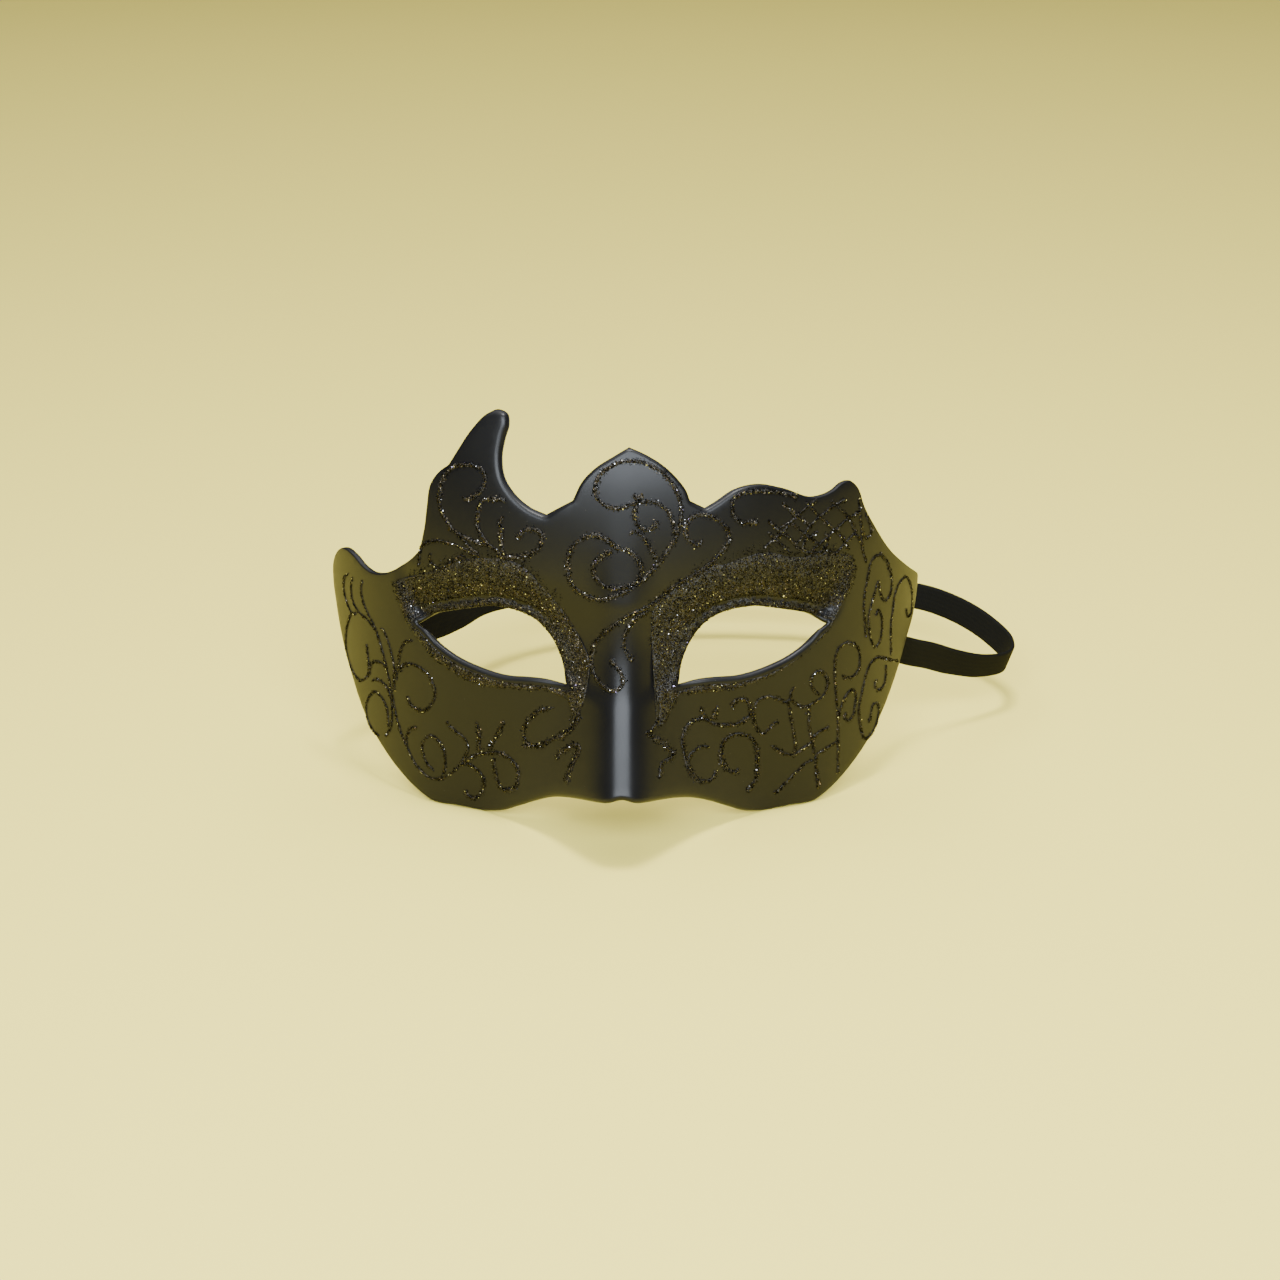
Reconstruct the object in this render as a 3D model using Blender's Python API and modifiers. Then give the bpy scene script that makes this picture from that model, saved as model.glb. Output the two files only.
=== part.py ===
"""Carnival half mask of moulded plastic with a flat elastic strap.

The mask stands on the lower edges of its two cheeks, as it stands on a table, front towards -Y.
Left is -X and right is +X, seen from the front. Sizes are in metres. The shell is laid out flat,
as an outline with two eye openings, then bent onto the face by the function face_depth.
"""

import math

import bmesh
import bpy
from mathutils import Matrix, Vector
from mathutils.geometry import delaunay_2d_cdt

# Mask
HALF_WIDTH = 0.088
HEIGHT = 0.120
WRAP_DEPTH = 0.058
WALL = 0.0018
RIM_ROUNDING = 0.0006
FOREHEAD_LEAN = 0.013
CHEEK_RECESS = 0.0065

# Nose: how far the ridge comes forward over its length, and how its sides fall away
NOSE_LENGTH = 0.050
NOSE_REACH = 0.026
RIDGE_WIDTH = 0.008
NOSE_SLOPE = 1.75
NOSE_BLEND = 0.006

# Eye sockets
SOCKET_DEPTH = 0.004
SOCKET_RISE = 0.030

# Strap and its two hidden pads
STRAP_WIDTH = 0.0085
STRAP_THICKNESS = 0.0011
STRAP_EDGE = 0.35
STRAP_LOOP = 0.087
PAD_LENGTH = 0.009
PAD_HEIGHT = 0.007
PAD_THICKNESS = 0.0010
PAD_ROUNDING = 0.0002
SHELL_GAP = 0.0005
PIECE_GAP = 0.00035

# Mesh steps
RIM_STEP = 0.0030
FACE_STEP = 0.0046
NOSE_STEP = 0.0042
CREASE_STEPS = 9
STRAP_STEP = 0.0042
CURVE_STEPS = 12

# Landmarks of the face, as shares of HEIGHT
BROW_UP = 0.615
EYE_UP = 0.415
NASION_UP = 0.585

# Corners of an eye, as shares of HALF_WIDTH and HEIGHT
EYE_INNER = (0.183, 0.380)
EYE_OUTER = (0.668, 0.468)

# Where the socket begins and ends, as shares of the eye's length and of SOCKET_RISE
SOCKET_SIDE = (-0.35, 0.12)
SOCKET_CREASE = (1.02, 1.09)
CREASE_LEAN = 0.345
SOCKET_START = (-0.03, 0.13)
SOCKET_FADE = (0.40, 1.00)

# Where the cheek recess fades, as shares of HALF_WIDTH, and how much of it does
CHEEK_FADE = (0.34, 0.70)
CHEEK_FADE_SHARE = 0.75

# How sharply the forehead leans back and the cheeks tuck in
FOREHEAD_POWER = 1.8
CHEEK_POWER = 1.6

# Rows down the nose, as shares of its half width
NOSE_ROWS = (-1.25, -1.0, -0.75, -0.5, -0.25, 0.0, 0.25, 0.5, 0.75, 1.0, 1.25)

# Smallest distances between the points of the laid-out face
CREASE_CLEARANCE = 0.0011
NOSE_CLEARANCE = 0.0017
FACE_CLEARANCE = 0.0028
MERGE_DISTANCE = 1.0e-7

ROUND = False
CORNER = True

# Outer edge from the nose's lower end, past the left cheek: across, up, kind
OUTLINE = (
    (0.000, 0.184, ROUND), (-0.070, 0.168, ROUND), (-0.152, 0.143, ROUND), (-0.235, 0.110, ROUND),
    (-0.290, 0.080, ROUND), (-0.356, 0.042, ROUND), (-0.410, 0.014, ROUND), (-0.460, 0.000, ROUND),
    (-0.560, 0.000, ROUND), (-0.640, 0.000, ROUND), (-0.690, 0.018, ROUND), (-0.771, 0.064, ROUND),
    (-0.823, 0.105, ROUND), (-0.862, 0.142, ROUND), (-0.895, 0.191, ROUND), (-0.921, 0.244, ROUND),
    (-0.944, 0.297, ROUND), (-0.962, 0.353, ROUND), (-0.974, 0.410, ROUND), (-0.983, 0.469, ROUND),
    (-0.981, 0.512, ROUND), (-0.964, 0.552, ROUND), (-0.925, 0.581, ROUND), (-0.888, 0.576, ROUND),
    (-0.858, 0.562, ROUND), (-0.825, 0.556, ROUND), (-0.791, 0.562, ROUND), (-0.740, 0.586, ROUND),
    (-0.692, 0.618, ROUND), (-0.651, 0.655, CORNER), (-0.632, 0.720, ROUND), (-0.624, 0.765, ROUND),
    (-0.612, 0.814, ROUND), (-0.585, 0.845, ROUND), (-0.551, 0.866, CORNER), (-0.522, 0.900, ROUND),
    (-0.474, 0.952, ROUND), (-0.425, 0.988, ROUND), (-0.390, 1.000, ROUND), (-0.361, 0.992, ROUND),
    (-0.357, 0.973, ROUND), (-0.370, 0.940, ROUND), (-0.380, 0.900, ROUND), (-0.371, 0.854, ROUND),
    (-0.345, 0.826, ROUND), (-0.289, 0.795, ROUND), (-0.239, 0.782, CORNER), (-0.204, 0.797, ROUND),
    (-0.154, 0.817, CORNER), (-0.123, 0.860, ROUND), (-0.086, 0.887, ROUND), (-0.024, 0.915, ROUND),
    (0.023, 0.934, CORNER), (0.069, 0.920, ROUND), (0.131, 0.893, ROUND), (0.175, 0.863, ROUND),
    (0.203, 0.836, ROUND), (0.215, 0.814, CORNER), (0.262, 0.796, CORNER), (0.300, 0.810, ROUND),
    (0.350, 0.830, ROUND), (0.423, 0.837, ROUND), (0.510, 0.819, ROUND), (0.612, 0.786, ROUND),
    (0.672, 0.790, ROUND), (0.706, 0.802, ROUND), (0.730, 0.802, ROUND), (0.754, 0.786, ROUND),
    (0.787, 0.725, ROUND), (0.825, 0.670, ROUND), (0.880, 0.598, ROUND), (0.952, 0.526, ROUND),
    (1.005, 0.474, CORNER), (1.003, 0.440, ROUND), (0.990, 0.375, ROUND), (0.966, 0.326, ROUND),
    (0.934, 0.259, ROUND), (0.905, 0.207, ROUND), (0.871, 0.157, ROUND), (0.827, 0.109, ROUND),
    (0.770, 0.064, ROUND), (0.690, 0.018, ROUND), (0.640, 0.000, ROUND), (0.560, 0.000, ROUND),
    (0.460, 0.000, ROUND), (0.410, 0.014, ROUND), (0.356, 0.042, ROUND), (0.290, 0.080, ROUND),
    (0.228, 0.112, ROUND), (0.152, 0.143, ROUND), (0.070, 0.168, ROUND),
)

# Edge of one eye opening from its inner corner over the upper lid: across, up, kind
EYE = (
    (0.181, 0.378, CORNER), (0.187, 0.410, ROUND), (0.203, 0.450, ROUND), (0.235, 0.492, ROUND),
    (0.278, 0.522, ROUND), (0.334, 0.537, ROUND), (0.405, 0.540, ROUND), (0.500, 0.522, ROUND),
    (0.590, 0.497, ROUND), (0.668, 0.468, CORNER), (0.642, 0.456, ROUND), (0.602, 0.430, ROUND),
    (0.548, 0.408, ROUND), (0.470, 0.390, ROUND), (0.377, 0.379, ROUND), (0.270, 0.383, ROUND),
)

# Free run of the strap, left temple to right temple: across as a share of HALF_WIDTH, back behind
# WRAP_DEPTH as a share of STRAP_LOOP, up as a share of HEIGHT
STRAP_RUN = (
    (-0.918, -0.023, 0.315), (-0.880, 0.080, 0.292), (-0.790, 0.190, 0.267), (-0.688, 0.300, 0.246),
    (-0.597, 0.448, 0.237), (-0.528, 0.599, 0.231), (-0.409, 0.759, 0.212), (-0.216, 0.897, 0.188),
    (0.057, 0.977, 0.175), (0.398, 1.000, 0.171), (0.739, 0.965, 0.171), (0.966, 0.908, 0.175),
    (1.114, 0.838, 0.181), (1.239, 0.723, 0.175), (1.335, 0.587, 0.160), (1.392, 0.448, 0.142),
    (1.369, 0.322, 0.143), (1.273, 0.235, 0.156), (1.153, 0.153, 0.192), (1.057, 0.070, 0.235),
    (1.000, 0.018, 0.258), (0.950, -0.023, 0.278),
)

# Where the strap's ends lie against the inner faces of the temples: across, up
LEFT_SEAT = ((-0.800, 0.325), (-0.862, 0.325), (-0.915, 0.324))
RIGHT_SEAT = ((0.905, 0.298), (0.855, 0.300), (0.795, 0.300))

WRAP_RADIUS = (HALF_WIDTH ** 2 + WRAP_DEPTH ** 2) / (2.0 * WRAP_DEPTH)
WRAP_LIMIT = 0.985


def smooth_step(low, high, value):
    """Rise from 0 at low to 1 at high with level ends."""
    share = min(max((value - low) / (high - low), 0.0), 1.0)
    return share * share * (3.0 - 2.0 * share)


def blend_lower(first, second, width):
    """The lower of two depths, rounded over where they cross."""
    share = min(max(0.5 + 0.5 * (second - first) / width, 0.0), 1.0)
    return second + (first - second) * share - width * share * (1.0 - share)


def wrap_depth(across):
    """Depth of the round plan curve that goes about the head."""
    held = min(abs(across), WRAP_LIMIT * WRAP_RADIUS)
    return WRAP_RADIUS - math.sqrt(WRAP_RADIUS ** 2 - held ** 2)


def eye_axis():
    """Inner corner of the right eye, the way to its outer corner, and the way up from that line."""
    start = Vector((EYE_INNER[0] * HALF_WIDTH, EYE_INNER[1] * HEIGHT))
    axis = Vector((EYE_OUTER[0] * HALF_WIDTH, EYE_OUTER[1] * HEIGHT)) - start
    return start, axis, Vector((-axis.y, axis.x)).normalized()


def socket_depth(across, up):
    """Depth of the recess above and beside an eye, with a crisp outer side."""
    start, axis, rise = eye_axis()
    offset = Vector((abs(across), up)) - start
    along = offset.dot(axis) / axis.length_squared
    above = offset.dot(rise) / SOCKET_RISE
    side = smooth_step(*SOCKET_SIDE, along)
    side *= 1.0 - smooth_step(*SOCKET_CREASE, along - CREASE_LEAN * above)
    height = smooth_step(*SOCKET_START, above) * (1.0 - smooth_step(*SOCKET_FADE, above))
    return SOCKET_DEPTH * side * height


def face_depth(across, up):
    """Distance back from the forehead's middle to the front surface of the shell."""
    brow = BROW_UP * HEIGHT
    eye = EYE_UP * HEIGHT
    depth = wrap_depth(across)
    depth += FOREHEAD_LEAN * (max(up - brow, 0.0) / (HEIGHT - brow)) ** FOREHEAD_POWER
    recess = CHEEK_RECESS * (max(eye - up, 0.0) / eye) ** CHEEK_POWER
    depth += recess * (1.0 - CHEEK_FADE_SHARE * smooth_step(*CHEEK_FADE, abs(across) / HALF_WIDTH))
    ridge = NOSE_REACH * (up - NASION_UP * HEIGHT) / NOSE_LENGTH
    ridge += NOSE_SLOPE * (math.hypot(across, RIDGE_WIDTH) - RIDGE_WIDTH)
    return blend_lower(ridge, depth, NOSE_BLEND) + socket_depth(across, up)


def flatten(across, up):
    """Laid-out position of a point: arc length round the head, and height."""
    return Vector((WRAP_RADIUS * math.asin(across / WRAP_RADIUS), up))


def bend(flat):
    """Front surface point of a laid-out position."""
    across = WRAP_RADIUS * math.sin(flat.x / WRAP_RADIUS)
    return Vector((across, face_depth(across, flat.y), flat.y))


def inward(point):
    """Unit direction from the front surface into the wall."""
    reach = WALL
    slope_x = face_depth(point.x + reach, point.z) - face_depth(point.x - reach, point.z)
    slope_z = face_depth(point.x, point.z + reach) - face_depth(point.x, point.z - reach)
    return Vector((-slope_x, 2.0 * reach, -slope_z)).normalized()


def curve_points(knots, corners, closed):
    """Dense points through knots, one list for each knot's span."""
    count = len(knots)
    tangents = []
    for index in range(count):
        ahead = knots[(index + 1) % count] - knots[index]
        behind = knots[index] - knots[index - 1]
        if not closed and index == 0:
            behind = ahead
        if not closed and index == count - 1:
            ahead = behind
        near, far = behind.length, ahead.length
        tangent = (ahead / far * near + behind / near * far) / (near + far)
        tangents.append((tangent, ahead / far, behind / near))
    spans = []
    for index in range(count if closed else count - 1):
        after = (index + 1) % count
        start, end = knots[index], knots[after]
        chord = (end - start).length
        leave = tangents[index][1] if corners[index] else tangents[index][0]
        arrive = tangents[after][2] if corners[after] else tangents[after][0]
        span = []
        for step in range(CURVE_STEPS):
            t = step / CURVE_STEPS
            point = start * (2.0 * t ** 3 - 3.0 * t ** 2 + 1.0)
            point += leave * chord * (t ** 3 - 2.0 * t ** 2 + t)
            point += end * (3.0 * t ** 2 - 2.0 * t ** 3)
            point += arrive * chord * (t ** 3 - t ** 2)
            span.append(point)
        spans.append(span)
    return spans


def even_points(dense, step):
    """Points at an even step along a dense line, without its last one."""
    lengths = [0.0]
    for first, second in zip(dense, dense[1:]):
        lengths.append(lengths[-1] + (second - first).length)
    count = max(1, round(lengths[-1] / step))
    points = []
    place = 0
    for index in range(count):
        target = lengths[-1] * index / count
        while lengths[place + 1] < target:
            place += 1
        share = (target - lengths[place]) / (lengths[place + 1] - lengths[place])
        points.append(dense[place].lerp(dense[place + 1], share))
    return points


def loop_points(table, side=1.0):
    """Laid-out loop of a table of shares, stepped evenly from corner to corner."""
    knots = [flatten(side * across * HALF_WIDTH, up * HEIGHT) for across, up, kind in table]
    corners = [kind for across, up, kind in table]
    first = corners.index(CORNER)
    knots = knots[first:] + knots[:first]
    corners = corners[first:] + corners[:first]
    spans = curve_points(knots, corners, True)
    sections = []
    for span, corner in zip(spans, corners):
        if corner:
            sections.append([])
        sections[-1].extend(span)
    points = []
    for index, section in enumerate(sections):
        closing = sections[(index + 1) % len(sections)][0]
        points.extend(even_points(section + [closing], RIM_STEP))
    return points


def contains(loop, point):
    """Whether a laid-out loop goes round a point."""
    inside = False
    for first, second in zip(loop, loop[1:] + loop[:1]):
        if (first.y > point.y) != (second.y > point.y):
            crossing = first.x + (point.y - first.y) * (second.x - first.x) / (second.y - first.y)
            if point.x < crossing:
                inside = not inside
    return inside


def nose_rows():
    """Points in rows down the nose, close enough for its steep sides."""
    rows = []
    top = NASION_UP * HEIGHT
    for number in range(1, int(top / NOSE_STEP)):
        up = top - number * NOSE_STEP
        high = NOSE_REACH * (top - up) / NOSE_LENGTH / NOSE_SLOPE + RIDGE_WIDTH
        half = math.sqrt(high ** 2 - RIDGE_WIDTH ** 2)
        rows.extend(flatten(share * half, up) for share in NOSE_ROWS)
    return rows


def crease_rows():
    """Points along both edges of the crisp outer side of each socket."""
    rows = []
    start, axis, rise = eye_axis()
    low, high = SOCKET_CREASE
    for step in range(CREASE_STEPS):
        above = SOCKET_START[1] + (SOCKET_FADE[1] - SOCKET_START[1]) * step / CREASE_STEPS
        for along in (low, 0.5 * (low + high), high):
            point = start + axis * (along + CREASE_LEAN * above) + rise * above * SOCKET_RISE
            rows.append(flatten(point.x, point.y))
            rows.append(flatten(-point.x, point.y))
    return rows


def face_grid():
    """Staggered points over the whole face."""
    reach = flatten(HALF_WIDTH, 0.0).x + FACE_STEP
    columns = int(2.0 * reach / FACE_STEP) + 1
    height = FACE_STEP * math.sqrt(0.75)
    points = []
    for row in range(int(HEIGHT / height) + 1):
        for column in range(columns):
            shift = 0.5 * FACE_STEP if row % 2 else 0.0
            points.append(Vector((-reach + shift + column * FACE_STEP, row * height)))
    return points


def add_clear_points(points, candidates, loops, gap):
    """Append the candidates that lie in the wall and clear of every point so far."""
    outer, holes = loops[0], loops[1:]
    for candidate in candidates:
        if any((candidate - point).length_squared < gap * gap for point in points):
            continue
        if contains(outer, candidate) and not any(contains(hole, candidate) for hole in holes):
            points.append(candidate)


def new_material(name, colour, roughness):
    """Plain surface material."""
    material = bpy.data.materials.new(name)
    material.use_nodes = True
    shader = material.node_tree.nodes["Principled BSDF"]
    shader.inputs["Base Color"].default_value = (*colour, 1.0)
    shader.inputs["Roughness"].default_value = roughness
    return material


def new_object(name, builder, material, collection):
    """Smooth shaded object made of a bmesh."""
    for face in builder.faces:
        face.smooth = True
    mesh = bpy.data.meshes.new(name)
    builder.to_mesh(mesh)
    builder.free()
    mesh.materials.append(material)
    item = bpy.data.objects.new(name, mesh)
    collection.objects.link(item)
    return item


def build_shell(material, collection):
    """Front skin inside the outline and round both eyes, thickened inwards with rounded rims."""
    loops = [loop_points(OUTLINE), loop_points(EYE, -1.0), loop_points(EYE, 1.0)]
    points = []
    edges = []
    for loop in loops:
        start = len(points)
        points.extend(loop)
        edges.extend((start + i, start + (i + 1) % len(loop)) for i in range(len(loop)))
    add_clear_points(points, crease_rows(), loops, CREASE_CLEARANCE)
    add_clear_points(points, nose_rows(), loops, NOSE_CLEARANCE)
    add_clear_points(points, face_grid(), loops, FACE_CLEARANCE)
    flat, _, faces, _, _, _ = delaunay_2d_cdt(points, edges, [], 0, MERGE_DISTANCE)
    builder = bmesh.new()
    verts = [builder.verts.new(bend(point)) for point in flat]
    for face in faces:
        middle = (flat[face[0]] + flat[face[1]] + flat[face[2]]) / 3.0
        if contains(loops[0], middle) and not any(contains(hole, middle) for hole in loops[1:]):
            builder.faces.new([verts[index] for index in face])
    loose = [vert for vert in builder.verts if not vert.link_faces]
    bmesh.ops.delete(builder, geom=loose, context="VERTS")
    weight = builder.edges.layers.float.new("bevel_weight_edge")
    for edge in builder.edges:
        edge[weight] = 1.0 if edge.is_boundary else 0.0
    item = new_object("mask_shell", builder, material, collection)
    solidify = item.modifiers.new("Wall", "SOLIDIFY")
    solidify.thickness = WALL
    solidify.offset = -1.0
    solidify.use_even_offset = True
    bevel = item.modifiers.new("Rims", "BEVEL")
    bevel.limit_method = "WEIGHT"
    bevel.width = RIM_ROUNDING
    bevel.segments = 2
    return item


def seat_point(across, up, depth):
    """Point at a depth behind the front surface, for something that lies against the wall."""
    spot = Vector((across * HALF_WIDTH, 0.0, up * HEIGHT))
    spot.y = face_depth(spot.x, spot.z)
    return spot + inward(spot) * depth


def build_strap(material, collection):
    """One flat band along its run, with its width kept upright."""
    depth = WALL + SHELL_GAP + PAD_THICKNESS + PIECE_GAP + 0.5 * STRAP_THICKNESS
    knots = [seat_point(across, up, depth) for across, up in LEFT_SEAT]
    for across, back, up in STRAP_RUN:
        knots.append(Vector((across * HALF_WIDTH, WRAP_DEPTH + back * STRAP_LOOP, up * HEIGHT)))
    knots.extend(seat_point(across, up, depth) for across, up in RIGHT_SEAT)
    spans = curve_points(knots, [ROUND] * len(knots), False)
    dense = [point for span in spans for point in span] + [knots[-1]]
    run = even_points(dense, STRAP_STEP) + [knots[-1]]
    half, thin = 0.5 * STRAP_WIDTH, 0.5 * STRAP_THICKNESS
    edge = STRAP_EDGE * STRAP_THICKNESS
    profile = (
        (-thin, -half + edge), (-thin + edge, -half), (thin - edge, -half), (thin, -half + edge),
        (thin, half - edge), (thin - edge, half), (-thin + edge, half), (-thin, half - edge),
    )
    builder = bmesh.new()
    rings = []
    for index, point in enumerate(run):
        before, after = run[max(index - 1, 0)], run[min(index + 1, len(run) - 1)]
        along = (after - before).normalized()
        up = (Vector((0.0, 0.0, 1.0)) - along * along.z).normalized()
        side = along.cross(up)
        rings.append([builder.verts.new(point + side * x + up * z) for x, z in profile])
    count = len(profile)
    for first, second in zip(rings, rings[1:]):
        for i in range(count):
            j = (i + 1) % count
            builder.faces.new((first[i], first[j], second[j], second[i]))
    builder.faces.new(rings[0])
    builder.faces.new(rings[-1])
    bmesh.ops.recalc_face_normals(builder, faces=builder.faces)
    return new_object("elastic_strap", builder, material, collection)


def build_pad(name, across, up, material, collection):
    """Small plain pad between a strap's end and the temple's inner face."""
    centre = seat_point(across, up, WALL + SHELL_GAP + 0.5 * PAD_THICKNESS)
    wall = inward(centre)
    along = wall.cross(Vector((0.0, 0.0, 1.0))).normalized()
    rise = along.cross(wall)
    frame = Matrix((along, wall, rise)).transposed().to_4x4()
    frame.translation = centre
    builder = bmesh.new()
    bmesh.ops.create_cube(builder, size=1.0)
    size = Matrix.Diagonal((PAD_LENGTH, PAD_THICKNESS, PAD_HEIGHT, 1.0))
    bmesh.ops.transform(builder, matrix=frame @ size, verts=builder.verts)
    item = new_object(name, builder, material, collection)
    bevel = item.modifiers.new("Bevel", "BEVEL")
    bevel.width = PAD_ROUNDING
    bevel.segments = 2
    return item


def stand_on_origin(items):
    """Move everything so that the whole stands on Z = 0 with its box centred on the origin."""
    finished = bpy.context.evaluated_depsgraph_get()
    corners = []
    for item in items:
        mesh = item.evaluated_get(finished).to_mesh()
        corners.extend(vert.co.copy() for vert in mesh.vertices)
    low = Vector([min(corner[axis] for corner in corners) for axis in range(3)])
    high = Vector([max(corner[axis] for corner in corners) for axis in range(3)])
    shift = Vector((-0.5 * (low.x + high.x), -0.5 * (low.y + high.y), -low.z))
    for item in items:
        item.data.transform(Matrix.Translation(shift))
    return shift


def main():
    for item in list(bpy.data.objects):
        bpy.data.objects.remove(item, do_unlink=True)
    scene = bpy.context.scene
    scene.unit_settings.system = "METRIC"
    collection = bpy.data.collections.new("Carnival half mask")
    scene.collection.children.link(collection)
    plastic = new_material("mask_plastic", (0.012, 0.012, 0.014), 0.42)
    elastic = new_material("strap_elastic", (0.010, 0.011, 0.012), 0.85)
    glue = new_material("pad_plastic", (0.030, 0.030, 0.032), 0.60)
    items = [
        build_shell(plastic, collection),
        build_strap(elastic, collection),
        build_pad("strap_pad_left", LEFT_SEAT[1][0], LEFT_SEAT[1][1], glue, collection),
        build_pad("strap_pad_right", RIGHT_SEAT[1][0], RIGHT_SEAT[1][1], glue, collection),
    ]
    shift = stand_on_origin(items)
    print("moved by", [round(value, 5) for value in shift])
    for item in items:
        print(item.name, len(item.data.vertices), "vertices", len(item.data.polygons), "faces")


if __name__ == "__main__":
    main()
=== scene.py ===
"""Carnival half mask: smooth black shell, glitter scroll lines, speckled eye sockets, ribbed elastic.

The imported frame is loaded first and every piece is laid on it, in metres. The shell is laid out flat,
as in the part's own source, and bent onto the face, so that each glitter line follows the same surface.
"""

import math

import bpy
import numpy as np
from bpy.props import FloatProperty, FloatVectorProperty, IntProperty, PointerProperty
from bpy.types import Operator, Panel, PropertyGroup
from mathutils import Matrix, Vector
from mathutils.geometry import delaunay_2d_cdt
from mathutils.kdtree import KDTree


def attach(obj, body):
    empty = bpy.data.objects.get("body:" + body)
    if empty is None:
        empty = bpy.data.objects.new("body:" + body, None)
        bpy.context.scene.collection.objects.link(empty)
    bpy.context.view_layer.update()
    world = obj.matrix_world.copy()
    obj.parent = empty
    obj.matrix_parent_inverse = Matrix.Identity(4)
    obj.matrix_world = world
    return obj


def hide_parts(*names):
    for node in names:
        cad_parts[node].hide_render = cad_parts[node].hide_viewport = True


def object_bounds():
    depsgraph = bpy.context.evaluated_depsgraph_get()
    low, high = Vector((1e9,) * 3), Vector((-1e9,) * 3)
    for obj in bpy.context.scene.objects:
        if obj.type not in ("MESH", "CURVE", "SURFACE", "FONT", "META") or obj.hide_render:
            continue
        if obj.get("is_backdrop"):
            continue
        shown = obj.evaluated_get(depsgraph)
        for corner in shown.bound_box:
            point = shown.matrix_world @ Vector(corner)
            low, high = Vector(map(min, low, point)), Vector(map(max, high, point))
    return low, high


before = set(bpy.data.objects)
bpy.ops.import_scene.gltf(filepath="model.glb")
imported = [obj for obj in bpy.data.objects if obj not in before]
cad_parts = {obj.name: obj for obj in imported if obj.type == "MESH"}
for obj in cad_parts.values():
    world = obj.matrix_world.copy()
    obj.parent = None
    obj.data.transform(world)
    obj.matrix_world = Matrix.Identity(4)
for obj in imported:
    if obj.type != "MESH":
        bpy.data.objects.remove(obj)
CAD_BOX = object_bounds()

bl_info = {
    "name": "Carnival half mask",
    "version": (1, 0, 0),
    "blender": (4, 5, 0),
    "location": "3D View > Sidebar > Half mask",
    "description": "Dresses the packed half mask with its shell, glitter, elastic and stage",
    "category": "Object",
}

# Where the part's source puts the middle of the forehead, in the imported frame
MASK_ORIGIN = np.array((-0.01829, -0.06031, 0.0003))

# Mask, as in the part's source
HALF_WIDTH = 0.088
HEIGHT = 0.120
WRAP_DEPTH = 0.058
FOREHEAD_LEAN = 0.013
CHEEK_RECESS = 0.0065
NOSE_LENGTH = 0.050
NOSE_REACH = 0.026
NOSE_SLOPE = 1.75
SOCKET_DEPTH = 0.004
SOCKET_RISE = 0.030
BROW_UP = 0.615
EYE_UP = 0.415
NASION_UP = 0.585
EYE_INNER = (0.183, 0.380)
EYE_OUTER = (0.668, 0.468)
CREASE_LEAN = 0.345
SOCKET_START = (-0.03, 0.13)
SOCKET_FADE = (0.40, 1.00)
CHEEK_FADE = (0.34, 0.70)
CHEEK_FADE_SHARE = 0.75
FOREHEAD_POWER = 1.8
CHEEK_POWER = 1.6
WRAP_RADIUS = (HALF_WIDTH ** 2 + WRAP_DEPTH ** 2) / (2.0 * WRAP_DEPTH)
WRAP_LIMIT = 0.985

# Finer than in the part's source: a flat band down the nose, softer joins beside it, and creases
# that fade before they reach the outer edge
RIDGE_BAND = 0.0055
NOSE_CURVE = 1.35
RIDGE_POWER = 3.0
NOSE_BLEND = 0.013
SOCKET_SIDE = (-0.45, 0.45)
SOCKET_CREASE = (0.95, 1.09)
CREASE_DROP = 0.38

# Strap, as in the part's source
STRAP_WIDTH = 0.0085
STRAP_THICKNESS = 0.0011
STRAP_LOOP = 0.087
WALL = 0.0018
SHELL_GAP = 0.0005
PAD_THICKNESS = 0.0010
PIECE_GAP = 0.00035
STRAP_INSET = WALL + SHELL_GAP + PAD_THICKNESS + PIECE_GAP + 0.5 * STRAP_THICKNESS

# Camera that sees the mask as the photograph does, and the photograph's width in pixels
CAMERA_PLACE = np.array((-0.0133, -0.6893, 0.3135))
CAMERA_TARGET = np.array((-0.0133, -0.0403, 0.0513))
LENS = 68.9
SENSOR_WIDTH = 36.0
PHOTO_WIDTH = 1280
SIGHT_RANGE = (0.55, 0.92)
PAPER_REACH = 4.0

# Fold above each eye opening: its way from the edge and its width
FOLD_AWAY = 0.0028
FOLD_WIDTH = 0.0008

# Half the distance over which the face's slope is taken: for its front and for its inner side
SLOPE_REACH = 0.0003
INNER_REACH = 0.0022

# Glitter line: step along it, share of its width that the bead of glue takes, and the bead's section
# as shares of its half width and height
LINE_STEP = 0.0004
BEAD_SHARE = 0.62
BEAD_SECTION = (
    (-1.0, -0.35), (-0.82, 0.45), (-0.42, 0.90), (0.0, 1.0),
    (0.42, 0.90), (0.82, 0.45), (1.0, -0.35), (0.0, -0.60),
)

# Farthest that loose chips lie outside the glitter's border
LOOSE_REACH = 0.003

ROUND = False
CORNER = True

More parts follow.
